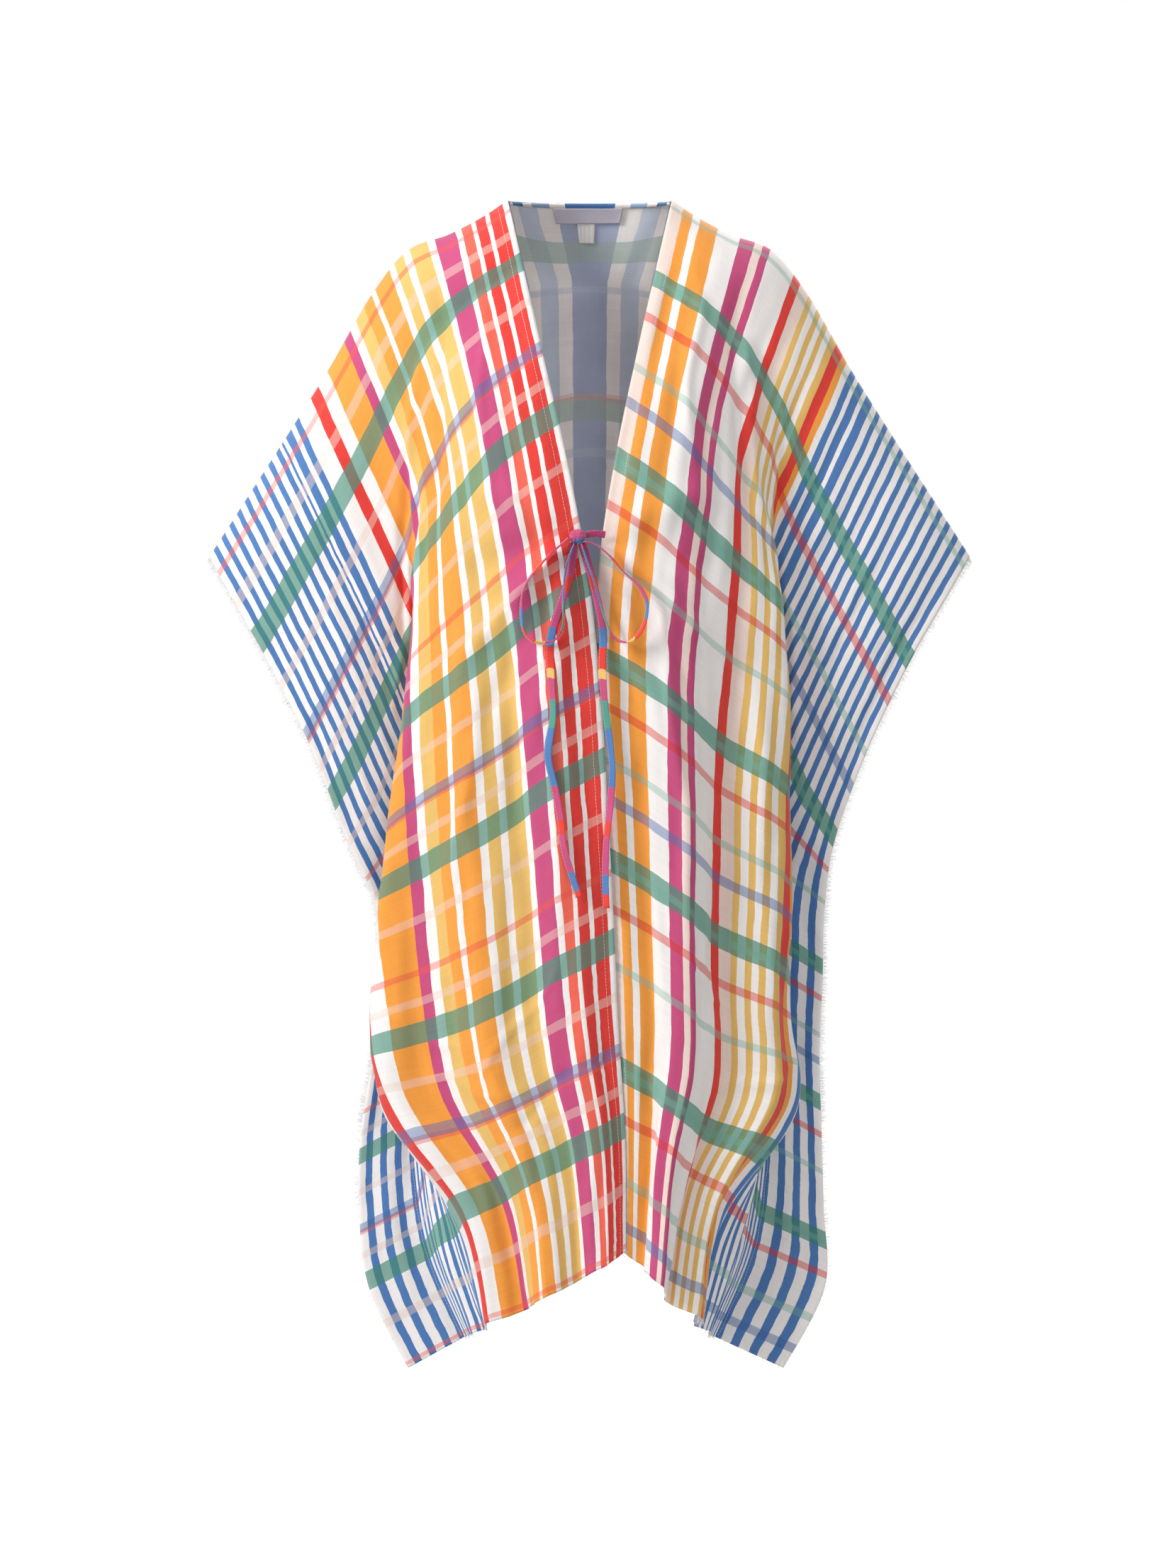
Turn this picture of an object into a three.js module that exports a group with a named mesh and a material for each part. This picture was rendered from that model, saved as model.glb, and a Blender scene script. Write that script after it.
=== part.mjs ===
// An open-front kimono cover-up of light printed cloth, worn, with its front edges tied by a bow.
// Millimetres. +X is to the viewer's right, +Y is behind the wearer, +Z is up.
// The origin is midway between the shoulders, level with the two neck points.
// Left and right in the names are the wearer's, so front_right lies at -X.
import * as THREE from "three";

// Sizes of the cut cloth
const CLOTH_LENGTH = 1085; // shoulder to hem, along the straight grain
const FRONT_WIDTH = 478; // front edge to frayed side edge
const SEAM_INSET = 55; // the side seam lies this far in from the frayed edge
const WALL = 1.5; // thickness of the cloth wall
const SEAM_GAP = 0.3; // clear gap between two pieces at a seam
const TRIM_WALL = 1.0; // thickness of hems and the neck edge
const FRONT_HEM = 14; // width of the hem turned in along each front edge

// Places on the panels. t is the share of the cloth length below the shoulder.
const ROLL_END = 0.1; // the cloth has rolled over shoulder and arm by here
const KNOT_T = 0.372; // the ties are sewn to the front edges here
const EDGE_STEP = 2; // the right front lies this far in front, the left this far behind

// The line from neck point to sleeve tip where front meets back.
// out is the distance from the centre plane, up is the height.
const SHOULDER_LINE = [
  { place: "neck point", out: 82, up: 0 },
  { place: "neck slope", out: 104, up: -15 },
  { place: "shoulder", out: 140, up: -34 },
  { place: "shoulder point", out: 180, up: -49 },
  { place: "upper arm", out: 214, up: -89 },
  { place: "arm", out: 260, up: -168 },
  { place: "elbow", out: 302, up: -235 },
  { place: "forearm", out: 338, up: -291 },
  { place: "sleeve tip", out: 379, up: -355 },
];
const NECK_BACK = { behind: 50, up: 2 }; // middle of the back neck edge

// Each row is one cross thread of a front, from front edge to frayed edge. Points are [out, y, z].
// An opening below 0 laps past the centre line. The side seam is closed from t = 0.4 down.
// lean moves the closed front edges towards +X. The last two columns are the extra distance out
// of the body fold and of the side flap on the wearer's left.
const FRONT_SECTIONS = [
  { t: 0.1, opening: [66, -66, -70], chest: [110, -70, -97], breast: [152, -62, -135],
    fold: [190, -50, -198], tuck: [222, -44, -262], seam: [300, -36, -403], edge: [327, -26, -446],
    lean: 0, leftFold: 2, leftFlap: -2 },
  { t: 0.2, opening: [46, -104, -160], chest: [92, -108, -192], breast: [134, -92, -240],
    fold: [168, -62, -305], tuck: [182, -42, -352], seam: [254, -38, -495], edge: [279, -30, -540],
    lean: 0, leftFold: 8, leftFlap: 0 },
  { t: 0.3, opening: [24, -122, -262], chest: [74, -124, -296], breast: [124, -104, -345],
    fold: [174, -66, -410], tuck: [158, -28, -438], seam: [212, -26, -588], edge: [242, -20, -636],
    lean: 1, leftFold: 16, leftFlap: 2 },
  { t: 0.4, opening: [6, -126, -368], chest: [58, -126, -400], breast: [114, -108, -448],
    fold: [187, -64, -512], tuck: [150, -20, -535], seam: [178, -0.9, -665], edge: [212, -8, -705],
    lean: 3, leftFold: 12, leftFlap: 22 },
  { t: 0.5, opening: [-1.5, -124, -475], chest: [54, -126, -506], breast: [114, -106, -552],
    fold: [198, -60, -612], tuck: [150, -16, -632], seam: [172, -0.9, -742], edge: [210, -6, -778],
    lean: 8, leftFold: -2, leftFlap: 22 },
  { t: 0.6, opening: [-1.5, -120, -585], chest: [52, -122, -615], breast: [115, -103, -660],
    fold: [205, -56, -712], tuck: [152, -14, -728], seam: [172, -0.9, -820], edge: [216, -6, -852],
    lean: 15, leftFold: -8, leftFlap: 13 },
  { t: 0.7, opening: [-1.5, -116, -697], chest: [52, -119, -726], breast: [116, -101, -768],
    fold: [210, -52, -812], tuck: [160, -14, -824], seam: [176, -0.9, -898], edge: [228, -6, -928],
    lean: 21, leftFold: -10, leftFlap: 3 },
  { t: 0.8, opening: [-1.5, -112, -810], chest: [50, -117, -838], breast: [112, -98, -876],
    fold: [204, -50, -905], tuck: [166, -16, -916], seam: [174, -0.9, -975], edge: [230, -8, -1003],
    lean: 26, leftFold: 4, leftFlap: 3 },
  { t: 0.9, opening: [-1.5, -108, -925], chest: [42, -116, -950], breast: [84, -101, -978],
    fold: [124, -70, -1010], tuck: [146, -34, -1034], seam: [160, -0.9, -1052], edge: [220, -10, -1083],
    lean: 33, leftFold: 6, leftFlap: 14 },
  { t: 1.0, opening: [-1.5, -105, -1040], chest: [34, -114, -1066], breast: [66, -101, -1090],
    fold: [96, -72, -1112], tuck: [114, -36, -1125], seam: [125, -0.9, -1133], edge: [181, -14, -1163],
    lean: 34, leftFold: 10, leftFlap: 12 },
];

// The same for one half of the back, from its centre to its frayed edge. Its seam and edge lie
// straight behind those of the front.
const BACK_SECTIONS = [
  { t: 0.1, centre: [0, 84, -74], opening: [70, 74, -82], chest: [112, 72, -101],
    breast: [155, 62, -138], fold: [194, 50, -200], tuck: [224, 44, -264] },
  { t: 0.2, centre: [0, 101, -165], opening: [66, 97, -178], chest: [104, 90, -202],
    breast: [144, 78, -247], fold: [176, 60, -308], tuck: [188, 42, -355] },
  { t: 0.3, centre: [0, 102, -262], opening: [64, 100, -278], chest: [100, 94, -304],
    breast: [140, 80, -350], fold: [184, 62, -412], tuck: [164, 28, -440] },
  { t: 0.4, centre: [0, 96, -360], opening: [60, 96, -376], chest: [98, 92, -404],
    breast: [142, 78, -452], fold: [192, 58, -514], tuck: [154, 20, -536] },
  { t: 0.5, centre: [0, 92, -458], opening: [60, 94, -475], chest: [98, 92, -504],
    breast: [144, 76, -552], fold: [196, 54, -612], tuck: [152, 16, -632] },
  { t: 0.6, centre: [0, 94, -558], opening: [60, 97, -576], chest: [100, 94, -606],
    breast: [146, 76, -654], fold: [198, 52, -712], tuck: [154, 14, -728] },
  { t: 0.7, centre: [0, 98, -660], opening: [60, 101, -679], chest: [100, 96, -708],
    breast: [148, 76, -756], fold: [200, 50, -812], tuck: [160, 14, -824] },
  { t: 0.8, centre: [0, 102, -765], opening: [58, 104, -786], chest: [98, 98, -816],
    breast: [146, 76, -862], fold: [196, 48, -905], tuck: [164, 16, -916] },
  { t: 0.9, centre: [0, 104, -880], opening: [50, 104, -904], chest: [84, 95, -930],
    breast: [112, 78, -966], fold: [134, 56, -1004], tuck: [148, 30, -1032] },
  { t: 1.0, centre: [0, 104, -1000], opening: [36, 102, -1030], chest: [62, 92, -1056],
    breast: [84, 76, -1084], fold: [102, 56, -1108], tuck: [115, 30, -1124] },
];

// Soft folds that run down a panel. top and hem are places across it, as shares of the width
// from front edge (or centre back) to side seam. depth is outwards, width is half the fold's width.
const FRONT_FOLDS = {
  right: [
    { top: 0.12, hem: 0.1, start: 0.36, depth: 7, width: 19 },
    { top: 0.25, hem: 0.23, start: 0.22, depth: -7, width: 22 },
    { top: 0.36, hem: 0.37, start: 0.3, depth: 9, width: 21 },
    { top: 0.5, hem: 0.52, start: 0.42, depth: -9, width: 23 },
    { top: 0.6, hem: 0.66, start: 0.5, depth: 10, width: 20 },
    { top: 0.72, hem: 0.8, start: 0.66, depth: -6, width: 18 },
  ],
  left: [
    { top: 0.11, hem: 0.12, start: 0.4, depth: -6, width: 20 },
    { top: 0.22, hem: 0.25, start: 0.3, depth: 8, width: 19 },
    { top: 0.37, hem: 0.39, start: 0.18, depth: -9, width: 24 },
    { top: 0.48, hem: 0.53, start: 0.34, depth: 10, width: 22 },
    { top: 0.62, hem: 0.67, start: 0.55, depth: -8, width: 20 },
    { top: 0.75, hem: 0.81, start: 0.7, depth: 6, width: 17 },
  ],
};
const BACK_FOLDS = [
  { top: 0.03, hem: 0.03, start: 0.16, depth: -12, width: 26 },
  { top: 0.17, hem: 0.16, start: 0.22, depth: 13, width: 25 },
  { top: 0.3, hem: 0.29, start: 0.18, depth: -13, width: 25 },
  { top: 0.43, hem: 0.42, start: 0.28, depth: 14, width: 24 },
  { top: 0.56, hem: 0.55, start: 0.34, depth: -8, width: 26 },
  { top: 0.68, hem: 0.68, start: 0.36, depth: 10, width: 24 },
  { top: 0.8, hem: 0.8, start: 0.5, depth: -8, width: 20 },
];
const FOLD_GROWTH = 0.2; // how much deeper a fold is at the hem than half way down
const NECK_SPAN = 64; // across the back, from its centre to the neck line
const NECK_ROLL = 0.35; // the back neck stands up more than the shoulder, whose roll is 1

// Gathers that run out from the knot over each front. angle is below straight out.
const KNOT_GATHERS = [
  { angle: -48, reach: 190, depth: 5, width: 13 },
  { angle: -20, reach: 150, depth: -4, width: 14 },
  { angle: 12, reach: 170, depth: 5, width: 13 },
  { angle: 40, reach: 200, depth: -4, width: 15 },
  { angle: 66, reach: 230, depth: 5, width: 14 },
];

// How finely the panels are divided
const FRONT_COLUMNS = 26; // front edge to seam
const NECK_COLUMNS = 5; // centre back to neck point
const BACK_COLUMNS = 20; // neck point to seam
const FLAP_COLUMNS = 3; // seam to frayed edge
const ROLL_ROWS = [0, 0.0095, 0.025, 0.05, 0.075];
const BODY_ROWS = 18;
const ROWS = [
  ...ROLL_ROWS,
  ...Array.from({ length: BODY_ROWS + 1 }, (_, i) => ROLL_END + ((1 - ROLL_END) * i) / BODY_ROWS),
];

const vec = (a) => new THREE.Vector3(a[0], a[1], a[2]);
const smooth = (low, high, x) => THREE.MathUtils.smoothstep(x, low, high);
const cloth = (colour, roughness = 0.85) =>
  new THREE.MeshStandardMaterial({ color: colour, roughness, metalness: 0, side: THREE.DoubleSide });

const shoulderCurve = new THREE.CatmullRomCurve3(
  SHOULDER_LINE.map((p) => new THREE.Vector3(p.out, 0, p.up)), false, "centripetal");

// A point on the shoulder line at share f of the way from neck point to seam column, or past it.
function shoulderPoint(f) {
  const seamShare = (FRONT_WIDTH - SEAM_INSET) / FRONT_WIDTH;
  const share = f <= 1 ? f * seamShare : seamShare + (f - 1) * (1 - seamShare);
  return shoulderCurve.getPointAt(Math.min(share, 1));
}

// Curves through the named points of each row of a table, one list for each panel half.
function sectionCurves(rows, names, placed) {
  return rows.map((row) => {
    const points = names.map((name) => placed(row, name));
    const across = new THREE.CatmullRomCurve3(points.slice(0, -1), false, "centripetal");
    return { across, seam: points[points.length - 2], edge: points[points.length - 1] };
  });
}

// Smooth value through equally spaced rows, where place counts rows from the first.
function throughRows(values, place) {
  const i = Math.min(Math.floor(place), values.length - 2);
  const s = place - i;
  const at = (k) => values[THREE.MathUtils.clamp(k, 0, values.length - 1)];
  const [a, b, c, d] = [at(i - 1), at(i), at(i + 1), at(i + 2)];
  const before = c.clone().sub(a).multiplyScalar(0.5);
  const after = d.clone().sub(b).multiplyScalar(0.5);
  const [s2, s3] = [s * s, s * s * s];
  return b.clone().multiplyScalar(2 * s3 - 3 * s2 + 1)
    .addScaledVector(before, s3 - 2 * s2 + s)
    .addScaledVector(c, 3 * s2 - 2 * s3)
    .addScaledVector(after, s3 - s2);
}

const LEAN_SHARE = { opening: 1, chest: 0.8, breast: 0.45, fold: 0.12 };

// A panel half is { point(f, t), side }: f runs 0 to 1 from front edge (or neck line) to side seam,
// and 1 to 2 over the flap. Below 0, on the back, it runs to the centre at -1.
function frontHalf(side) {
  const isLeft = side === "left";
  const mirror = isLeft ? 1 : -1;
  const names = ["opening", "chest", "breast", "fold", "tuck", "seam", "edge"];
  const placed = (row, name) => {
    const p = vec(row[name]);
    if (isLeft && name === "fold") p.x += row.leftFold;
    if (isLeft && name === "edge") p.x += row.leftFlap;
    p.x = p.x * mirror + row.lean * (LEAN_SHARE[name] ?? 0);
    if (name === "opening") p.y += isLeft ? EDGE_STEP : -EDGE_STEP;
    return p;
  };
  const curves = sectionCurves(FRONT_SECTIONS, names, placed);
  return { side, mirror, facing: -1, ...panelHalf(curves, mirror, -1) };
}

function backHalf(side) {
  const isLeft = side === "left";
  const mirror = isLeft ? 1 : -1;
  const names = ["opening", "chest", "breast", "fold", "tuck", "seam", "edge"];
  const placed = (row, name) => {
    const front = FRONT_SECTIONS.find((r) => r.t === row.t);
    const isShared = name === "seam" || name === "edge";
    const p = vec(isShared ? front[name] : row[name]);
    if (isShared) p.y = -p.y;
    if (isLeft && name === "edge") p.x += front.leftFlap;
    p.x *= mirror;
    return p;
  };
  const curves = sectionCurves(BACK_SECTIONS, names, placed);
  BACK_SECTIONS.forEach((row, i) => {
    const middle = vec(row.centre);
    const neckLine = placed(row, "opening");
    const beyond = placed(row, "chest");
    curves[i].inner = new THREE.CatmullRomCurve3([
      new THREE.Vector3(-neckLine.x, neckLine.y, neckLine.z), middle, neckLine, beyond,
    ], false, "centripetal");
  });
  return { side, mirror, facing: 1, ...panelHalf(curves, mirror, 1) };
}

function panelHalf(curves, mirror, facing) {
  const onRow = (curve, f) => {
    if (f < 0) return innerPoint(curve, f);
    if (f <= 1) return curve.across.getPointAt(f);
    return curve.seam.clone().lerp(curve.edge, f - 1);
  };
  const innerPoint = (curve, f) => {
    const share = (1 + (1 + f)) / 3; // the middle one of three stretches between four points
    return curve.inner.getPoint(share);
  };
  const topPoint = (f) => {
    const p = f < 0 ? neckEdge(1 + f) : shoulderPoint(f);
    p.x *= mirror;
    p.y += facing * SEAM_GAP / 2;
    return p;
  };
  const base = (f, t) => {
    if (t < ROLL_END) {
      const top = topPoint(f);
      const end = onRow(curves[0], f);
      const turn = (t / ROLL_END) * (Math.PI / 2);
      const rolled = THREE.MathUtils.lerp(NECK_ROLL, 1, smooth(-0.7, 0, f));
      const along = THREE.MathUtils.lerp(t / ROLL_END, Math.sin(turn), rolled);
      const down = THREE.MathUtils.lerp(t / ROLL_END, 1 - Math.cos(turn), rolled);
      return new THREE.Vector3(
        THREE.MathUtils.lerp(top.x, end.x, down),
        THREE.MathUtils.lerp(top.y, end.y, along),
        THREE.MathUtils.lerp(top.z, end.z, down));
    }
    const place = ((t - ROLL_END) / (1 - ROLL_END)) * (curves.length - 1);
    const p = throughRows(curves.map((c) => onRow(c, f)), place);
    const least = (WALL + SEAM_GAP) / 2;
    p.y = facing * Math.max(facing * p.y, least);
    return p;
  };
  return { base };
}

// The back neck edge at share s of the way from its centre to the neck point.
function neckEdge(s) {
  const angle = s * (Math.PI / 2);
  return new THREE.Vector3(
    SHOULDER_LINE[0].out * Math.sin(angle) ** 0.9,
    NECK_BACK.behind * Math.cos(angle) ** 1.2,
    THREE.MathUtils.lerp(NECK_BACK.up, SHOULDER_LINE[0].up, s * s));
}

// How far the folds lift a panel out at (f, t). first is where f starts: 0 on a front, -1 on the back.
function foldLift(f, t, folds, first) {
  const hasKnot = first === 0;
  const toSeam = FRONT_WIDTH - SEAM_INSET;
  const width = toSeam - first * NECK_SPAN;
  const place = f < 0 ? (1 + f) * NECK_SPAN : f * toSeam - first * NECK_SPAN;
  const fade = hasKnot ? smooth(0.0, 0.07, f) * (1 - smooth(0.8, 0.94, f)) : 1 - smooth(0.8, 0.94, f);
  let lift = 0;
  for (const fold of folds) {
    const away = (place - THREE.MathUtils.lerp(fold.top, fold.hem, t) * width) / fold.width;
    const grown = 1 + FOLD_GROWTH * (2 * t - 1);
    lift += fold.depth * grown * smooth(fold.start, fold.start + 0.25, t) * Math.exp(-away * away);
  }
  if (hasKnot) {
    for (const pull of KNOT_GATHERS) {
      const angle = THREE.MathUtils.degToRad(pull.angle);
      const [across, down] = [place, (t - KNOT_T) * CLOTH_LENGTH];
      const along = across * Math.cos(angle) + down * Math.sin(angle);
      const off = (down * Math.cos(angle) - across * Math.sin(angle)) / pull.width;
      if (along > 0 && along < pull.reach) {
        lift += pull.depth * Math.sin((Math.PI * along) / pull.reach) * Math.exp(-off * off);
      }
    }
  }
  return lift * fade;
}

// The unit direction out of the body at (f, t), from a panel's base form or its folded form.
function outward(half, at, f, t) {
  const step = 0.004;
  const [f0, f1] = [Math.max(f - step, half.first), Math.min(f + step, 2)];
  const across = at(f1, t).sub(at(f0, t));
  const down = t === 0 && f >= 0
    ? new THREE.Vector3(0, half.facing, 0)
    : at(f, Math.min(t + step, 1)).sub(at(f, Math.max(t - step, 0)));
  return across.cross(down).multiplyScalar(-half.mirror * half.facing * -1).normalize();
}

function folded(half, folds) {
  const at = (f, t) => {
    const lift = foldLift(f, t, folds, half.first);
    const p = half.base(f, t);
    if (lift === 0) return p;
    const level = outward(half, half.base, f, t).setZ(0).normalize();
    return p.addScaledVector(level, lift);
  };
  return { ...half, at, out: (f, t) => outward(half, at, f, t) };
}

const frontRight = folded({ ...frontHalf("right"), first: 0 }, FRONT_FOLDS.right);
const frontLeft = folded({ ...frontHalf("left"), first: 0 }, FRONT_FOLDS.left);
const backRight = folded({ ...backHalf("right"), first: -1 }, BACK_FOLDS);
const backLeft = folded({ ...backHalf("left"), first: -1 }, BACK_FOLDS);

// A closed wall around a grid of { p, n }: each point is moved out and in along n by the given
// distances. The faces are turned out at the end.
function wallGeometry(grid, outer, inner) {
  const [rows, columns] = [grid.length, grid[0].length];
  const positions = [];
  for (const distance of [outer, inner]) {
    for (const row of grid) {
      for (const { p, n } of row) positions.push(...p.clone().addScaledVector(n, distance).toArray());
    }
  }
  const layer = rows * columns;
  const faces = [];
  const quad = (a, b, c, d) => faces.push(a, b, c, a, c, d);
  for (let i = 0; i < rows - 1; i += 1) {
    for (let j = 0; j < columns - 1; j += 1) {
      const a = i * columns + j;
      quad(a, a + columns, a + columns + 1, a + 1);
      quad(layer + a, layer + a + 1, layer + a + columns + 1, layer + a + columns);
    }
  }
  const rim = [];
  for (let j = 0; j < columns - 1; j += 1) rim.push(j);
  for (let i = 0; i < rows - 1; i += 1) rim.push(i * columns + columns - 1);
  for (let j = columns - 1; j > 0; j -= 1) rim.push((rows - 1) * columns + j);
  for (let i = rows - 1; i > 0; i -= 1) rim.push(i * columns);
  rim.forEach((a, k) => {
    const b = rim[(k + 1) % rim.length];
    quad(a, b, layer + b, layer + a);
  });
  return closedGeometry(positions, faces);
}

function closedGeometry(positions, faces) {
  const at = (i) => new THREE.Vector3(...positions.slice(3 * i, 3 * i + 3));
  let volume = 0;
  for (let i = 0; i < faces.length; i += 3) {
    volume += at(faces[i]).dot(at(faces[i + 1]).cross(at(faces[i + 2])));
  }
  if (volume < 0) {
    for (let i = 0; i < faces.length; i += 3) [faces[i + 1], faces[i + 2]] = [faces[i + 2], faces[i + 1]];
  }
  const geometry = new THREE.BufferGeometry();
  geometry.setAttribute("position", new THREE.Float32BufferAttribute(positions, 3));
  geometry.setIndex(faces);
  geometry.computeVertexNormals();
  return geometry;
}

const steps = (from, to, count) =>
  Array.from({ length: count + 1 }, (_, i) => from + ((to - from) * i) / count);
const FLAP_STEPS = steps(1, 2, FLAP_COLUMNS).slice(1);
const HEM_SHARE = FRONT_HEM / (FRONT_WIDTH - SEAM_INSET);
const FRONT_STEPS = [0, ...steps(HEM_SHARE, 1, FRONT_COLUMNS), ...FLAP_STEPS];
const BACK_STEPS = [...steps(-1, 0, NECK_COLUMNS), ...steps(0, 1, BACK_COLUMNS).slice(1), ...FLAP_STEPS];

const gridOf = (panel, columns, rows) =>
  rows.map((t) => columns.map((f) => ({ p: panel.at(f, t), n: panel.out(f, t) })));

const kimono = new THREE.Group();

function add(name, geometry, material) {
  const mesh = new THREE.Mesh(geometry, material);
  mesh.name = name;
  kimono.add(mesh);
}

// Panels
const frontGrids = {
  right: gridOf(frontRight, FRONT_STEPS, ROWS),
  left: gridOf(frontLeft, FRONT_STEPS, ROWS),
};
const backHalves = {
  right: gridOf(backRight, BACK_STEPS, ROWS),
  left: gridOf(backLeft, BACK_STEPS, ROWS),
};
const backGrid = ROWS.map((_, i) => [
  ...backHalves.right[i].slice(1).reverse(),
  ...backHalves.left[i],
]);
add("front_right", wallGeometry(frontGrids.right, WALL / 2, -WALL / 2), cloth(0xe8b06a));
add("front_left", wallGeometry(frontGrids.left, WALL / 2, -WALL / 2), cloth(0xe6d8cc));
add("back", wallGeometry(backGrid, WALL / 2, -WALL / 2), cloth(0x8fa9c9));

// Trim that lies on a panel is made from the panel's own grid: rows and columns are places in it,
// and may be shares between two of its lines.
function gridAt(grid, row, column) {
  const i = Math.min(Math.floor(row), grid.length - 2);
  const j = Math.min(Math.floor(column), grid[0].length - 2);
  const [y, x] = [row - i, column - j];
  const mix = (key) => grid[i][j][key].clone().lerp(grid[i][j + 1][key], x)
    .lerp(grid[i + 1][j][key].clone().lerp(grid[i + 1][j + 1][key], x), y);
  return { p: mix("p"), n: mix("n") };
}
const patch = (grid, rows, columns) =>
  rows.map((row) => columns.map((column) => gridAt(grid, row, column)));

// The turned hems lie inside the front edges, from just below the shoulder seam to the hem.
const FACE = WALL / 2 + SEAM_GAP; // from the middle of a wall to what lies on it
for (const side of ["right", "left"]) {
  const strip = frontGrids[side].slice(1).map((row) => row.slice(0, 2));
  add(`front_hem_${side}`, wallGeometry(strip, -FACE, -FACE - TRIM_WALL), cloth(0xe9dcd2));
}

// The rolled neck edge and the two labels lie inside the back. Columns count from the centre back.
const CENTRE_COLUMN = BACK_STEPS.length - 1;
const NECK_EDGE_COLUMNS = steps(-NECK_COLUMNS + 0.1, NECK_COLUMNS - 0.1, 2)
  .concat(steps(-NECK_COLUMNS + 1, NECK_COLUMNS - 1, 2 * NECK_COLUMNS - 2))
  .filter((c, i, all) => all.indexOf(c) === i)
  .sort((a, b) => a - b);
const insideBack = (rows, columns, outer, thick) =>
  wallGeometry(patch(backGrid, rows, columns.map((c) => CENTRE_COLUMN + c)), -outer, -outer - thick);
add("neck_edge", insideBack([0, 1], NECK_EDGE_COLUMNS, FACE, TRIM_WALL), cloth(0x5f9c93));
const LABEL_WALL = 0.6;
add("care_label", insideBack([2, 3, 3.25], [-0.48, 0, 0.18], FACE, LABEL_WALL), cloth(0xf4f4f4, 0.7));
const OVER_NECK_EDGE = FACE + TRIM_WALL + SEAM_GAP;
add("neck_label", insideBack([0.6, 1, 2, 2.2], [-1.42, -1, 0, 1, 1.27], OVER_NECK_EDGE, LABEL_WALL),
  cloth(0xc9c4d6, 0.6));

// The bow. Ties are flat strips of the same cloth. A stop is [x, z, turn]: turn 0 shows a strip's
// edge and 90 its face. Loops hang in front of the tails.
const TIE_WIDTH = 8;
const TIE_THICK = 1.6;
const TAIL_LIFT = 1.4; // from the cloth to the middle of a tail's thickness
const LOOP_LIFT = 7.6; // from the cloth to the middle of a loop's width
const KNOT = { x: -12, z: -340, halfWidth: 8, halfDepth: 6.5, halfHeight: 7.5 };
const KNOT_DIP = 0.9; // at the knot the cloth lies this far behind its nearest crest
const BOW = [
  { name: "bow_loop_right", lift: LOOP_LIFT, stops: [
    [-20.6, -342, 0], [-30, -350, 0], [-42, -361, 6], [-63, -388, 10], [-67, -411, 12], [-63, -436, 15],
    [-50, -444, 15], [-35, -442, 10], [-27, -431, 5], [-26, -400, 0], [-23, -370, 0], [-15.5, -347.2, 0]] },
  { name: "bow_loop_left", lift: LOOP_LIFT, stops: [
    [-5.7, -345.5, 0], [6, -348.5, 0], [18, -358, 0], [31, -373, 10], [50, -392, 20], [56, -408, 25],
    [50, -432, 20], [38, -443, 15], [25, -440, 10], [15, -421, 5], [4, -384, 0], [-8.5, -347.5, 0]] },
  { name: "tie_tail_right", lift: TAIL_LIFT, stops: [
    [-16, -346.4, 90], [-19, -375, 90], [-28, -405, 90], [-36, -430, 90], [-39, -447, 90], [-38, -477, 65],
    [-36, -515, 55], [-41, -554, 60], [-35, -582, 65], [-29, -614, 55], [-25, -646, 60], [-17, -673, 50],
    [-10.5, -692, 55]] },
  { name: "tie_tail_left", lift: TAIL_LIFT, stops: [
    [-7.5, -346.4, 90], [2, -380, 90], [10, -415, 90], [13, -438, 90], [12, -461, 80], [13, -486, 60],
    [16, -515, 60], [20, -545, 50], [22, -568, 55], [20, -601, 60], [16, -638, 50], [15, -668, 55],
    [16, -703, 60]] },
  { name: "tie_strap_left", lift: TAIL_LIFT, stops: [[-3.6, -338.5, 50], [5, -337.5, 50], [15, -338.5, 60]] },
];

// The furthest forward that either front comes near (x, z).
function frontSurface(x, z, near = 24) {
  let y = 0;
  for (const grid of Object.values(frontGrids)) {
    for (const { p } of grid.flat()) {
      const isNear = Math.abs(p.x - x) < near && Math.abs(p.z - z) < near + CLOTH_LENGTH / BODY_ROWS / 2;
      if (isNear) y = Math.min(y, p.y);
    }
  }
  return y - WALL / 2;
}

// A flat strip swept through stops, as a closed solid with square ends.
function stripGeometry(stops, lift, piecesPerStop = 2) {
  const middle = new THREE.CatmullRomCurve3(stops.map(([x, z, turn]) => {
    const reach = (TIE_WIDTH / 2) * Math.cos(THREE.MathUtils.degToRad(turn));
    return new THREE.Vector3(x, frontSurface(x, z) - Math.max(lift, reach + TAIL_LIFT), z);
  }), false, "centripetal");
  const turns = new THREE.CatmullRomCurve3(stops.map(([, , turn]) => new THREE.Vector3(turn, 0, 0)));
  const count = (stops.length - 1) * piecesPerStop;
  const positions = [];
  for (let i = 0; i <= count; i += 1) {
    const p = middle.getPoint(i / count);
    const along = middle.getTangent(i / count);
    const turn = THREE.MathUtils.degToRad(turns.getPoint(i / count).x);
    const forward = new THREE.Vector3(0, 1, 0).addScaledVector(along, -along.y).normalize();
    const across = forward.clone().cross(along).normalize();
    const wide = forward.clone().multiplyScalar(Math.cos(turn)).addScaledVector(across, Math.sin(turn));
    const thin = wide.clone().cross(along).normalize();
    for (const [a, b] of [[-1, -1], [1, -1], [1, 1], [-1, 1]]) {
      positions.push(...p.clone().addScaledVector(wide, (a * TIE_WIDTH) / 2)
        .addScaledVector(thin, (b * TIE_THICK) / 2).toArray());
    }
  }
  const faces = [0, 1, 2, 0, 2, 3];
  const end = 4 * count;
  faces.push(end, end + 2, end + 1, end, end + 3, end + 2);
  for (let i = 0; i < count; i += 1) {
    for (let k = 0; k < 4; k += 1) {
      const [a, b] = [4 * i + k, 4 * i + ((k + 1) % 4)];
      faces.push(a, a + 4, b + 4, a, b + 4, b);
    }
  }
  return closedGeometry(positions, faces);
}

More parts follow.
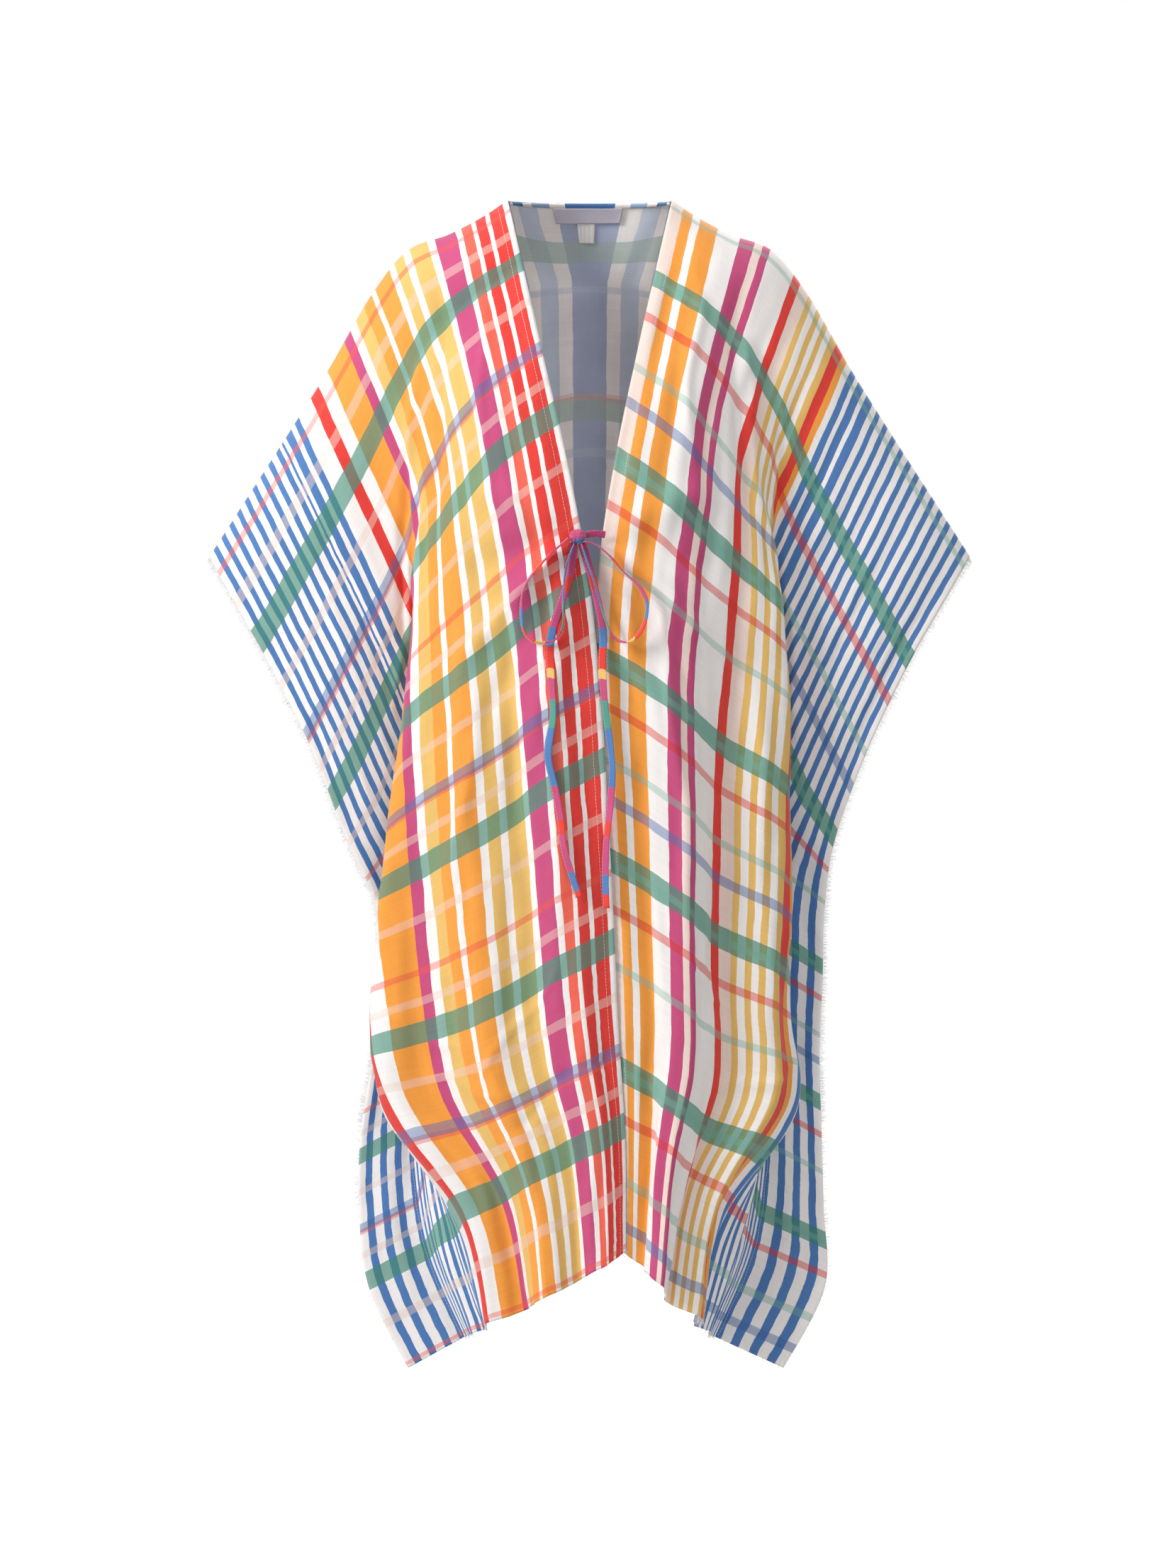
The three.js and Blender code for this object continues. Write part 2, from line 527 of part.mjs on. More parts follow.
const tieCloth = cloth(0xd9667f);
const knotShape = new THREE.SphereGeometry(1, 14, 8).rotateX(Math.PI / 2)
  .scale(KNOT.halfWidth, KNOT.halfDepth, KNOT.halfHeight)
  .translate(KNOT.x, frontSurface(KNOT.x, KNOT.z) + KNOT_DIP - SEAM_GAP - KNOT.halfDepth, KNOT.z);
add("bow_knot", knotShape, tieCloth);
for (const { name, lift, stops } of BOW) add(name, stripGeometry(stops, lift), tieCloth);

// The frayed edges: along each edge a thin strip, 0.3 mm clear of the cloth, with short locks.
const FRAY = { root: 1.2, reach: 5.5, thick: 1.0 };

// edge is a list of { p, n, away }, with away pointing past the edge. Each stretch between two of
// its points is cut into equal pieces of about the given length, and every second piece bears a lock.
function frayGeometry(edge, pieceLength) {
  const stations = [];
  edge.slice(1).forEach((end, i) => {
    const start = edge[i];
    const cuts = Math.max(1, Math.round(start.p.distanceTo(end.p) / pieceLength));
    for (let k = 0; k < cuts; k += 1) {
      const mix = (key) => start[key].clone().lerp(end[key], k / cuts);
      stations.push({ p: mix("p"), n: mix("n").normalize(), away: mix("away").normalize() });
    }
  });
  stations.push(edge[edge.length - 1]);
  const pieces = stations.length - 1;
  const positions = [];
  for (const { p, n, away } of stations) {
    const start = p.clone().addScaledVector(away, SEAM_GAP);
    positions.push(...start.toArray());
    for (const flip of [1, -1]) {
      positions.push(...start.clone().addScaledVector(away, FRAY.root)
        .addScaledVector(n, (flip * FRAY.thick) / 2).toArray());
    }
  }
  const faces = [0, 1, 2, 3 * pieces, 3 * pieces + 2, 3 * pieces + 1];
  for (let k = 0; k < pieces; k += 1) {
    const [a, b] = [3 * k, 3 * k + 3];
    faces.push(a, b, b + 1, a, b + 1, a + 1);
    faces.push(a, b + 2, b, a, a + 2, b + 2);
    if (k % 2 === 0) {
      faces.push(a + 1, b + 1, b + 2, a + 1, b + 2, a + 2);
      continue;
    }
    const [from, to] = [stations[k], stations[k + 1]];
    const tip = positions.length / 3;
    const root = from.p.clone().lerp(to.p, 0.5);
    positions.push(...root.addScaledVector(from.away, SEAM_GAP + FRAY.reach).toArray());
    faces.push(a + 1, b + 1, tip, b + 1, b + 2, tip, b + 2, a + 2, tip, a + 2, a + 1, tip);
  }
  return closedGeometry(positions, faces);
}

// A rim of a grid as an edge for fraying. Each point has a neighbour further in on the panel.
function frayedEdge(rim, inner) {
  return rim.map(({ p, n }, i) => {
    const along = rim[Math.min(i + 1, rim.length - 1)].p.clone().sub(rim[Math.max(i - 1, 0)].p).normalize();
    const away = p.clone().sub(inner[i].p);
    away.addScaledVector(along, -away.dot(along)).normalize();
    return { p, n, away };
  });
}
const hemEdge = (grid) => frayedEdge(grid[grid.length - 1], grid[grid.length - 2]);
const sideEdge = (grid) => {
  const below = grid.slice(1);
  const fromEnd = (k) => below.map((row) => row[row.length - k]);
  return frayedEdge(fromEnd(1), fromEnd(2));
};
const HEM_PIECE = 6.5; // a lock and the gap beside it take two pieces
const BACK_HEM_PIECE = 9.5;
const SIDE_PIECE = 14.5;
const frayCloth = cloth(0xe4ded8);
for (const side of ["right", "left"]) {
  add(`fray_hem_front_${side}`, frayGeometry(hemEdge(frontGrids[side]), HEM_PIECE), frayCloth);
  add(`fray_side_front_${side}`, frayGeometry(sideEdge(frontGrids[side]), SIDE_PIECE), frayCloth);
  add(`fray_side_back_${side}`, frayGeometry(sideEdge(backHalves[side]), SIDE_PIECE), frayCloth);
}
add("fray_hem_back", frayGeometry(hemEdge(backGrid), BACK_HEM_PIECE), frayCloth);

export default kimono;
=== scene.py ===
# %% [markdown]
# An open-front kimono cover-up of light printed cloth, worn, with its front edges tied by a bow.
# Everything hangs on one idea: each panel of cloth is a smooth surface point(across, down), and hems,
# stitches, labels and frayed yarns are made from points of that same surface. The tables are in
# millimetres, as a pattern cutter measures, and MM turns them into Blender's metres at the last step.
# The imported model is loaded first, because every piece stands for one of its nodes.

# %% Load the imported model
import math

import bmesh
import bpy
import numpy as np
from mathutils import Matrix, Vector


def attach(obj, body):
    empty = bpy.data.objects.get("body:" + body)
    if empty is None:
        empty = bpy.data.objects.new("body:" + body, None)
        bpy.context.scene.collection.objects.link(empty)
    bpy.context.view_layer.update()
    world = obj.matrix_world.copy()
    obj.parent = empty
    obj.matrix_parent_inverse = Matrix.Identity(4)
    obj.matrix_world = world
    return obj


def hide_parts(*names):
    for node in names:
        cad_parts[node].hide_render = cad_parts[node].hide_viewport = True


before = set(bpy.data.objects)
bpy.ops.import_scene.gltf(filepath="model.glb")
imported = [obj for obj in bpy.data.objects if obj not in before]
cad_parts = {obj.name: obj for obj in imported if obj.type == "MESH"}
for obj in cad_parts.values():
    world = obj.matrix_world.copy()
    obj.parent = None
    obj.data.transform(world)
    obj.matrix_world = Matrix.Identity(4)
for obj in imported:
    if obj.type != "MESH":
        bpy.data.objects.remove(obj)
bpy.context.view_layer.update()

MM = 0.001
scene = bpy.context.scene

# %% [markdown]
# The camera stands straight in front, as in the photograph. One pixel there is 0.7 mm on the garment.
# A long lens from six metres could be replaced by an orthographic camera, but a real lens keeps the
# slight perspective that makes the folds read as depth.

# %% Camera
PHOTO_WIDTH, PHOTO_HEIGHT = 1659, 2212
MM_PER_PIXEL = 0.7
ORIGIN_PIXEL = (832, 275)  # where the garment's origin lies in the photograph
CAMERA_AWAY = 6.0
SHARP_PLANE = -0.06  # the photograph's scale holds on this plane, just behind the fronts

camera_data = bpy.data.cameras.new("camera")
camera = bpy.data.objects.new("camera", camera_data)
scene.collection.objects.link(camera)
camera.location = (
    (PHOTO_WIDTH / 2 - ORIGIN_PIXEL[0]) * MM_PER_PIXEL * MM,
    SHARP_PLANE - CAMERA_AWAY,
    -(PHOTO_HEIGHT / 2 - ORIGIN_PIXEL[1]) * MM_PER_PIXEL * MM,
)
camera.rotation_euler = (math.radians(90), 0, 0)
camera_data.sensor_width = 36
camera_data.lens = 36 * CAMERA_AWAY / (PHOTO_HEIGHT * MM_PER_PIXEL * MM)
camera_data.clip_end = 50
scene.camera = camera
print("lens", round(camera_data.lens, 1))

# %% [markdown]
# The form of the cloth. Each row below is one cross thread of a panel, from its front edge (or the
# centre back) to its frayed edge. A smooth curve runs through the points of a row, and a second one
# runs down through the rows, which gives a surface that can be asked for any point. Sculpting would be
# the other way, but named rows keep the garment's true cut in view and easy to change.

# %% Sizes and rows of the cloth
CLOTH_LENGTH = 1085  # shoulder to hem
FRONT_WIDTH = 478  # front edge to frayed edge
SEAM_INSET = 55  # the side seam lies this far in from the frayed edge
TO_SEAM = FRONT_WIDTH - SEAM_INSET
NECK_SPAN = 64  # across the back, from its centre to the neck line
FRONT_HEM = 14
CLOTH_THICK = 0.5
ROLL_END = 0.1
KNOT_T = 0.372
EDGE_STEP = 2
NECK_ROLL = 0.35
FOLD_GROWTH = 0.2
HALF_SEAM = 0.05  # at a seam each panel stops this far from the other

SHOULDER_LINE = [(82, 0), (104, -15), (140, -34), (180, -49), (214, -89), (260, -168), (302, -235),
                 (338, -291), (379, -355)]
NECK_BACK = {"behind": 50, "up": 2}

# Each row below is one cross thread, from front edge (or centre back) to frayed edge, with its points as
# (out, y, z). lean moves the closed front edges towards +X. The last two columns are the extra distance
# out of fold and flap on the left.
POINT_NAMES = ["opening", "chest", "breast", "fold", "tuck", "seam", "edge"]
FRONT_NAMES = [*POINT_NAMES, "lean", "left_fold", "left_flap"]
FRONT_ROWS = [dict(zip(FRONT_NAMES, row)) for row in [
    ((66, -66, -70), (110, -70, -97), (152, -62, -135), (190, -50, -198), (222, -44, -262),
     (300, -36, -403), (327, -26, -446), 0, 2, -2),
    ((46, -104, -160), (92, -108, -192), (134, -92, -240), (168, -62, -305), (182, -42, -352),
     (254, -38, -495), (279, -30, -540), 0, 8, 0),
    ((24, -122, -262), (74, -124, -296), (124, -104, -345), (174, -66, -410), (158, -28, -438),
     (212, -26, -588), (242, -20, -636), 1, 16, 2),
    ((6, -126, -368), (58, -126, -400), (114, -108, -448), (187, -64, -512), (150, -20, -535),
     (178, -0.9, -665), (212, -8, -705), 3, 12, 22),
    ((-1.5, -124, -475), (54, -126, -506), (114, -106, -552), (198, -60, -612), (150, -16, -632),
     (172, -0.9, -742), (210, -6, -778), 8, -2, 22),
    ((-1.5, -120, -585), (52, -122, -615), (115, -103, -660), (205, -56, -712), (152, -14, -728),
     (172, -0.9, -820), (216, -6, -852), 15, -8, 13),
    ((-1.5, -116, -697), (52, -119, -726), (116, -101, -768), (210, -52, -812), (160, -14, -824),
     (176, -0.9, -898), (228, -6, -928), 21, -10, 3),
    ((-1.5, -112, -810), (50, -117, -838), (112, -98, -876), (204, -50, -905), (166, -16, -916),
     (174, -0.9, -975), (230, -8, -1003), 26, 4, 3),
    ((-1.5, -108, -925), (42, -116, -950), (84, -101, -978), (124, -70, -1010), (146, -34, -1034),
     (160, -0.9, -1052), (220, -10, -1083), 33, 6, 14),
    ((-1.5, -105, -1040), (34, -114, -1066), (66, -101, -1090), (96, -72, -1112), (114, -36, -1125),
     (125, -0.9, -1133), (181, -14, -1163), 34, 10, 12),
]]
LEAN_SHARE = {"opening": 1, "chest": 0.8, "breast": 0.45, "fold": 0.12}
# The back's seam and edge lie straight behind those of the front.
BACK_NAMES = ["centre", *POINT_NAMES[:5]]
BACK_ROWS = [dict(zip(BACK_NAMES, row)) for row in [
    ((0, 84, -74), (70, 74, -82), (112, 72, -101), (155, 62, -138), (194, 50, -200), (224, 44, -264)),
    ((0, 101, -165), (66, 97, -178), (104, 90, -202), (144, 78, -247), (176, 60, -308), (188, 42, -355)),
    ((0, 102, -262), (64, 100, -278), (100, 94, -304), (140, 80, -350), (184, 62, -412),
     (164, 28, -440)),
    ((0, 96, -360), (60, 96, -376), (98, 92, -404), (142, 78, -452), (192, 58, -514), (154, 20, -536)),
    ((0, 92, -458), (60, 94, -475), (98, 92, -504), (144, 76, -552), (196, 54, -612), (152, 16, -632)),
    ((0, 94, -558), (60, 97, -576), (100, 94, -606), (146, 76, -654), (198, 52, -712), (154, 14, -728)),
    ((0, 98, -660), (60, 101, -679), (100, 96, -708), (148, 76, -756), (200, 50, -812), (160, 14, -824)),
    ((0, 102, -765), (58, 104, -786), (98, 98, -816), (146, 76, -862), (196, 48, -905), (164, 16, -916)),
    ((0, 104, -880), (50, 104, -904), (84, 95, -930), (112, 78, -966), (134, 56, -1004),
     (148, 30, -1032)),
    ((0, 104, -1000), (36, 102, -1030), (62, 92, -1056), (84, 76, -1084), (102, 56, -1108),
     (115, 30, -1124)),
]]

# Large folds as (place at the top, place at the hem, start, depth, half width). Places are shares of
# the width from front edge or centre back to the side seam.
LARGE_FOLDS = {
    "front_right": [(0.12, 0.1, 0.36, 7, 19), (0.25, 0.23, 0.22, -7, 22), (0.36, 0.37, 0.3, 9, 21),
                    (0.5, 0.52, 0.42, -9, 23), (0.6, 0.66, 0.5, 10, 20), (0.72, 0.8, 0.66, -6, 18)],
    "front_left": [(0.11, 0.12, 0.4, -6, 20), (0.22, 0.25, 0.3, 8, 19), (0.37, 0.39, 0.18, -9, 24),
                   (0.48, 0.53, 0.34, 10, 22), (0.62, 0.67, 0.55, -8, 20), (0.75, 0.81, 0.7, 6, 17)],
    "back": [(0.03, 0.03, 0.16, -12, 26), (0.17, 0.16, 0.22, 13, 25), (0.3, 0.29, 0.18, -13, 25),
             (0.43, 0.42, 0.28, 14, 24), (0.56, 0.55, 0.34, -8, 26), (0.68, 0.68, 0.36, 10, 24),
             (0.8, 0.8, 0.5, -8, 20)],
}
# Gathers that run out from the knot as (angle below straight out, reach, depth, half width).
KNOT_GATHERS = [(-48, 190, 5, 13), (-20, 150, -4, 14), (12, 170, 5, 13), (40, 200, -4, 15),
                (66, 230, 5, 14)]
print("rows:", len(FRONT_ROWS), "front,", len(BACK_ROWS), "back. Flat front:", FRONT_WIDTH, "by", CLOTH_LENGTH)

# %% [markdown]
# The surface itself. A centripetal Catmull-Rom curve is used across, because it never overshoots at the
# tight body fold, and shares of its arc length keep the printed stripes evenly spaced. Whole grids of
# points are worked out at once with numpy, which is far quicker than point by point.

# %% Curves and panel surfaces
def smooth(low, high, x):
    s = np.clip((np.asarray(x, float) - low) / (high - low), 0, 1)
    return s * s * (3 - 2 * s)


def hermite(s, b, c, leave, arrive):
    """Points at shares s of the way from b to c, given the slopes there."""
    s2, s3 = s * s, s * s * s
    return ((2 * s3 - 3 * s2 + 1) * b + (s3 - 2 * s2 + s) * leave
            + (3 * s2 - 2 * s3) * c + (s3 - s2) * arrive)


def catmull_rom(stops, shares):
    """Points at shares 0 to 1 of a centripetal Catmull-Rom curve through stops."""
    stops = np.asarray(stops, float)
    points = np.vstack([2 * stops[0] - stops[1], stops, 2 * stops[-1] - stops[-2]])
    place = np.clip(np.asarray(shares, float), 0, 1) * (len(stops) - 1)
    i = np.minimum(place.astype(int), len(stops) - 2)
    s = (place - i)[:, None]
    a, b, c, d = points[i], points[i + 1], points[i + 2], points[i + 3]

    def step(p, q):
        return np.maximum(np.linalg.norm(q - p, axis=1) ** 0.5, 1e-6)[:, None]

    d0, d1, d2 = step(a, b), step(b, c), step(c, d)
    leave = ((b - a) / d0 - (c - a) / (d0 + d1) + (c - b) / d1) * d1
    arrive = ((c - b) / d1 - (d - b) / (d1 + d2) + (d - c) / d2) * d1
    return hermite(s, b, c, leave, arrive)


def steps(points):
    return np.linalg.norm(np.diff(points, axis=0), axis=1)


def travelled(points):
    """How far along a line each of its points lies."""
    return np.r_[0, np.cumsum(steps(points))]


def at_lengths(values, length, at):
    return np.stack([np.interp(at, length, values[:, k]) for k in range(3)], axis=1)


def by_length(stops, shares, fine=600):
    """Points at shares of the arc length of the curve through stops."""
    dense = catmull_rom(stops, np.linspace(0, 1, fine))
    length = travelled(dense)
    return at_lengths(dense, length, np.clip(shares, 0, 1) * length[-1])

# %% [markdown]
# Rows of a panel. The named points of a row are moved for the left side, for the lean of the fronts and
# for the back, and base_surface joins the rows. Modifiers could do the same, but here each step can be
# read and checked on its own.

# %% Rows of a panel
def row_points(name, mirror, index):
    """The named points of one row of a panel, on one side."""
    front = FRONT_ROWS[index]
    is_front = name != "back"
    is_left = mirror > 0
    row = front if is_front else {**BACK_ROWS[index], "seam": front["seam"], "edge": front["edge"]}
    points = {}
    for key in POINT_NAMES:
        x, y, z = row[key]
        if not is_front and key in ("seam", "edge"):
            y = -y
        if is_left and key == "fold" and is_front:
            x += front["left_fold"]
        if is_left and key == "edge":
            x += front["left_flap"]
        x *= mirror
        if is_front:
            x += front["lean"] * LEAN_SHARE.get(key, 0)
            if key == "opening":
                y += EDGE_STEP if is_left else -EDGE_STEP
        points[key] = np.array([x, y, z], float)
    return points


def across_row(name, mirror, index, f):
    points = row_points(name, mirror, index)
    out = by_length([points[k] for k in POINT_NAMES[:-1]], f)
    flap = f > 1
    out[flap] = points["seam"] + (f[flap] - 1)[:, None] * (points["edge"] - points["seam"])
    inner = f < 0
    if inner.any():
        neck = points["opening"]
        stops = [neck * (-1, 1, 1), BACK_ROWS[index]["centre"], neck, points["chest"]]
        out[inner] = catmull_rom(stops, (2 + f[inner]) / 3)
    return out


def top_edge(name, mirror, f):
    stops = [(x, 0, z) for x, z in SHOULDER_LINE]
    seam_share = TO_SEAM / FRONT_WIDTH
    share = np.where(f <= 1, f * seam_share, seam_share + (f - 1) * (1 - seam_share))
    points = by_length(stops, share)
    inner = f < 0
    angle = (1 + f[inner]) * math.pi / 2
    points[inner, 0] = SHOULDER_LINE[0][0] * np.sin(angle) ** 0.9
    points[inner, 1] = NECK_BACK["behind"] * np.maximum(np.cos(angle), 0) ** 1.2
    points[inner, 2] = NECK_BACK["up"] * (1 - (1 + f[inner]) ** 2)
    points[:, 0] *= mirror
    points[:, 1] += HALF_SEAM * (1 if name == "back" else -1)
    return points


def base_surface(name, mirror, f, t):
    """The unfolded form of one half, as an array of rows (t) by columns (f)."""
    facing = 1 if name == "back" else -1
    rows = np.stack([across_row(name, mirror, i, f) for i in range(len(FRONT_ROWS))])
    last = len(rows) - 1
    place = np.maximum(t - ROLL_END, 0) / (1 - ROLL_END) * last
    i = np.minimum(place.astype(int), last - 1)
    s = (place - i)[:, None, None]
    a, b, c, d = rows[np.maximum(i - 1, 0)], rows[i], rows[i + 1], rows[np.minimum(i + 2, last)]
    points = hermite(s, b, c, (c - a) / 2, (d - b) / 2)
    points[..., 1] = facing * np.maximum(facing * points[..., 1], CLOTH_THICK / 2 + HALF_SEAM)
    top, end = top_edge(name, mirror, f), rows[0]
    for k in np.flatnonzero(t < ROLL_END):
        share = t[k] / ROLL_END
        rolled = NECK_ROLL + (1 - NECK_ROLL) * smooth(-0.7, 0, f)
        along = (1 - rolled) * share + rolled * math.sin(share * math.pi / 2)
        down = (1 - rolled) * share + rolled * (1 - math.cos(share * math.pi / 2))
        mix = np.stack([down, along, down], axis=1)
        points[k] = top * (1 - mix) + end * mix
    return points

# %% [markdown]
# Large folds. Each is a soft ridge or valley that drifts across the cloth on its way down, and gathers
# run out from the knot in the same way. Sculpted folds would be freer, but these follow the packed
# solids number by number.

# %% Large folds of a panel
def unit(vectors):
    return vectors / np.maximum(np.linalg.norm(vectors, axis=-1, keepdims=True), 1e-9)


def grid_normals(points, sign):
    return unit(np.cross(np.gradient(points, axis=1), np.gradient(points, axis=0)) * sign)


def large_lift(name, f, t):
    """How far the large folds lift a panel out, in millimetres, on the grid of f and t."""
    first = -1 if name == "back" else 0
    width = TO_SEAM - first * NECK_SPAN
    place = np.where(f < 0, (1 + f) * NECK_SPAN, f * TO_SEAM - first * NECK_SPAN)[None, :]
    t = t[:, None]
    lift = 0
    for top, hem, start, depth, half_width in LARGE_FOLDS[name]:
        away = (place - (top + (hem - top) * t) * width) / half_width
        lift = lift + (depth * (1 + FOLD_GROWTH * (2 * t - 1)) * smooth(start, start + 0.25, t)
                       * np.exp(-away * away))
    fade = 1 - smooth(0.8, 0.94, f)
    if first == 0:
        fade = fade * smooth(0, 0.07, f)
        for angle, reach, depth, half_width in KNOT_GATHERS:
            turn = math.radians(angle)
            down = (t - KNOT_T) * CLOTH_LENGTH
            along = place * math.cos(turn) + down * math.sin(turn)
            off = (down * math.cos(turn) - place * math.sin(turn)) / half_width
            wave = np.sin(math.pi * np.clip(along / reach, 0, 1)) * np.exp(-off * off)
            lift = lift + depth * wave
    return lift * fade[None, :]

# %% [markdown]
# Fine creases. The large folds give the silhouette, but cloth is read by its small marks: packing
# creases, pulls at the armpit and the knot, slack ripples down the fronts and puckers along a hem. Each
# is listed one by one in the cloth's own measures, and a few slow waves with fixed phases fill the rest. A
# noise displacement would be quicker, yet it makes every stretch of cloth look the same.

# %% Fine creases of each panel
# Rows are (across, down, angle, length, depth, half width). across and down are where a crease's middle
# lies, from front edge or centre back and from shoulder. angle 0 runs across the cloth and 90 down it.
CREASES = {
    "front_right": [
        (70, 205, 78, 210, 3.2, 7), (118, 150, 66, 230, -3.8, 9), (190, 170, 52, 220, 4.3, 10),
        (252, 205, 44, 190, -4.6, 9), (232, 300, 60, 260, 4.9, 11), (300, 262, 38, 170, 3.5, 8),
        (330, 350, 74, 240, -3.8, 9), (45, 560, 84, 300, 2.9, 8), (96, 640, 92, 380, -3.5, 9),
        (150, 560, 80, 330, 3.8, 10), (205, 700, 96, 420, -3.2, 9), (262, 640, 84, 380, 4.1, 10),
        (120, 830, 32, 170, 2.2, 4), (175, 872, -24, 150, 2.0, 4), (90, 905, 12, 190, -1.9, 4),
        (225, 800, -38, 140, 2.0, 5), (330, 640, 100, 300, 3.8, 9), (60, 960, 86, 190, 4.6, 12),
        (150, 970, 94, 180, -4.9, 13), (245, 975, 90, 180, 4.6, 12), (420, 430, 4, 130, 2.0, 4),
        (400, 240, 70, 200, 3.8, 11),
    ],
    "front_left": [
        (60, 180, 80, 230, 3.5, 8), (125, 170, 68, 220, -3.8, 9), (180, 220, 56, 260, 4.6, 10),
        (240, 190, 46, 190, -4.1, 9), (268, 292, 58, 250, 4.3, 10), (335, 250, 40, 170, 3.2, 8),
        (38, 600, 96, 340, -2.9, 8), (88, 570, 86, 360, 3.8, 9), (145, 690, 98, 400, -3.5, 10),
        (198, 590, 84, 380, 4.1, 10), (255, 700, 94, 400, -3.8, 9), (310, 620, 88, 360, 4.3, 10),
        (385, 415, 3, 150, 2.3, 4), (110, 770, 14, 210, 1.7, 4), (205, 850, -28, 140, 1.9, 4),
        (70, 900, 26, 130, -1.7, 4), (52, 970, 90, 180, -4.3, 12), (140, 968, 86, 190, 4.9, 12),
        (235, 975, 93, 180, -4.6, 13), (405, 250, 72, 190, -3.5, 11),
    ],
    "back": [
        (-300, 200, 122, 240, 3.0, 10), (-220, 230, 110, 250, -3.0, 10), (290, 210, 60, 240, 3.2, 10),
        (215, 240, 72, 260, -3.0, 10), (-120, 180, 98, 210, 2.4, 9), (105, 190, 84, 220, 2.4, 9),
        (30, 330, 88, 330, 2.6, 10), (-35, 420, 92, 360, -2.6, 10), (-60, 700, 91, 520, 7.4, 11),
        (62, 690, 88, 540, -7.4, 11), (-120, 690, 92, 560, -8.3, 12), (122, 710, 89, 560, 8.3, 12),
        (-183, 670, 92, 560, 8.6, 12), (186, 680, 88, 560, -8.3, 12), (-246, 690, 90, 540, -7.4, 11),
        (250, 690, 90, 540, 7.4, 11), (-320, 640, 88, 420, 6.4, 11), (322, 660, 92, 420, -6.4, 11),
        (10, 560, 2, 330, 1.4, 4), (-140, 860, 24, 170, 1.3, 4), (150, 900, -30, 160, 1.3, 4),
    ],
}
CREASE_BEND = 6  # how far a crease snakes off its straight line
# Slow waves as (height, length across, length down, phase).
SLOW_WAVES = [(0.9, 61, 540, 0.4), (0.7, 37, 380, 2.1), (0.5, 23, 260, 4.0), (0.45, 96, 90, 1.2)]
# The wide back holds more slack cloth than a front, so its slow waves are this much higher.
FULLNESS = {"front_right": 1.0, "front_left": 1.0, "back": 1.8}
WAVE_WANDER = 1.3  # how far a wave's crests swing to and fro down the cloth, in radians
# Creases start between the first two shares of the length, and fade out and in about the side seam.
CALM_TOP = (0.02, 0.14)
CALM_SEAM = {"fade": (0.9, 0.97), "return": (1.03, 1.2)}
PUCKER = {"height": 0.45, "length": 11, "reach": 22}
print("creases:", {name: len(rows) for name, rows in CREASES.items()})

# %% [markdown]
# From creases to surface. Every crease adds a little height along the outward normal, and the sum is
# calmed at the shoulder and about the side seams, where cloth is held flat. A displacement modifier would
# need the same numbers as an image first.

# %% Panel surfaces with every fold
def fine_lift(name, across, down):
    """Creases, slow waves and hem puckers in millimetres. across and down are arrays of cloth places."""
    lift = np.zeros(np.broadcast(across, down).shape)
    for at_across, at_down, angle, length, depth, half_width in CREASES[name]:
        turn = math.radians(angle)
        x, y = across - at_across, down - at_down
        along = (x * math.cos(turn) + y * math.sin(turn)) / length
        bend = CREASE_BEND * np.sin(3 * math.pi * along + at_across)
        off = (y * math.cos(turn) - x * math.sin(turn) + bend) / half_width
        lift += depth * np.cos(math.pi * np.clip(along, -0.5, 0.5)) ** 0.8 * np.exp(-off * off)
    for height, wave_across, wave_down, phase in SLOW_WAVES:
        wander = WAVE_WANDER * np.sin(down * 2 * math.pi / wave_down + phase)
        lift += height * FULLNESS[name] * np.sin(across * 2 * math.pi / wave_across + phase + wander)
    if name != "back":
        near = np.exp(-((across - FRONT_HEM) / PUCKER["reach"]) ** 2)
        lift += PUCKER["height"] * near * np.sin(down * 2 * math.pi / PUCKER["length"]
                                                 + 2 * np.sin(down / 47))
    return lift


def cloth_across(name, f):
    """Millimetres across the flat cloth from front edge or centre back, at shares f."""
    first = NECK_SPAN if name == "back" else 0
    across = np.where(f < 0, (1 + f) * NECK_SPAN, first + f * TO_SEAM)
    return np.where(f > 1, first + TO_SEAM + (f - 1) * SEAM_INSET, across)


def half_surface(name, mirror, f, t, fine=True):
    """Points and outward normals of one half, with all its folds, in millimetres."""
    facing = 1 if name == "back" else -1
    sign = mirror * facing
    points = base_surface(name, mirror, f, t)
    level = grid_normals(points, sign)
    level[..., 2] = 0
    points = points + unit(level) * large_lift(name, f, t)[..., None]
    normals = grid_normals(points, sign)
    if fine:
        across = cloth_across(name, f)[None, :]
        down = t[:, None] * CLOTH_LENGTH
        signed = across * mirror if name == "back" else across
        near_seam = smooth(*CALM_SEAM["fade"], f) * (1 - smooth(*CALM_SEAM["return"], f))
        calm = smooth(*CALM_TOP, t)[:, None] * (1 - near_seam)
        if name != "back":
            calm = calm * smooth(0, 0.02, f)
        points = points + normals * (fine_lift(name, signed, down) * calm)[..., None]
        below = t >= ROLL_END
        least = CLOTH_THICK / 2 + HALF_SEAM
        points[below, :, 1] = facing * np.maximum(facing * points[below, :, 1], least)
        normals = grid_normals(points, sign)
    return points, normals


def surface(name, c, t, fine=True):
    """A panel at columns c and rows t. A front's c runs 0 at the front edge, 1 at the side seam and 2 at
    the frayed edge. The back's c runs from -3 through 0 at the centre to 3, with its seams at -2 and 2."""
    if name != "back":
        return half_surface(name, 1 if name == "front_left" else -1, c, t, fine)
    c = np.asarray(c, float)
    f = np.abs(c) - 1
    left = c >= 0
    points = np.zeros((len(t), len(c), 3))
    outward = np.zeros_like(points)
    for mirror, here in ((1, left), (-1, ~left)):
        if here.any():
            order = np.argsort(f[here])
            grid, normals = half_surface(name, mirror, padded(f[here][order]), t, fine)
            index = np.flatnonzero(here)[order]
            points[:, index] = grid[:, -len(index):]
            outward[:, index] = normals[:, -len(index):]
    return points, outward


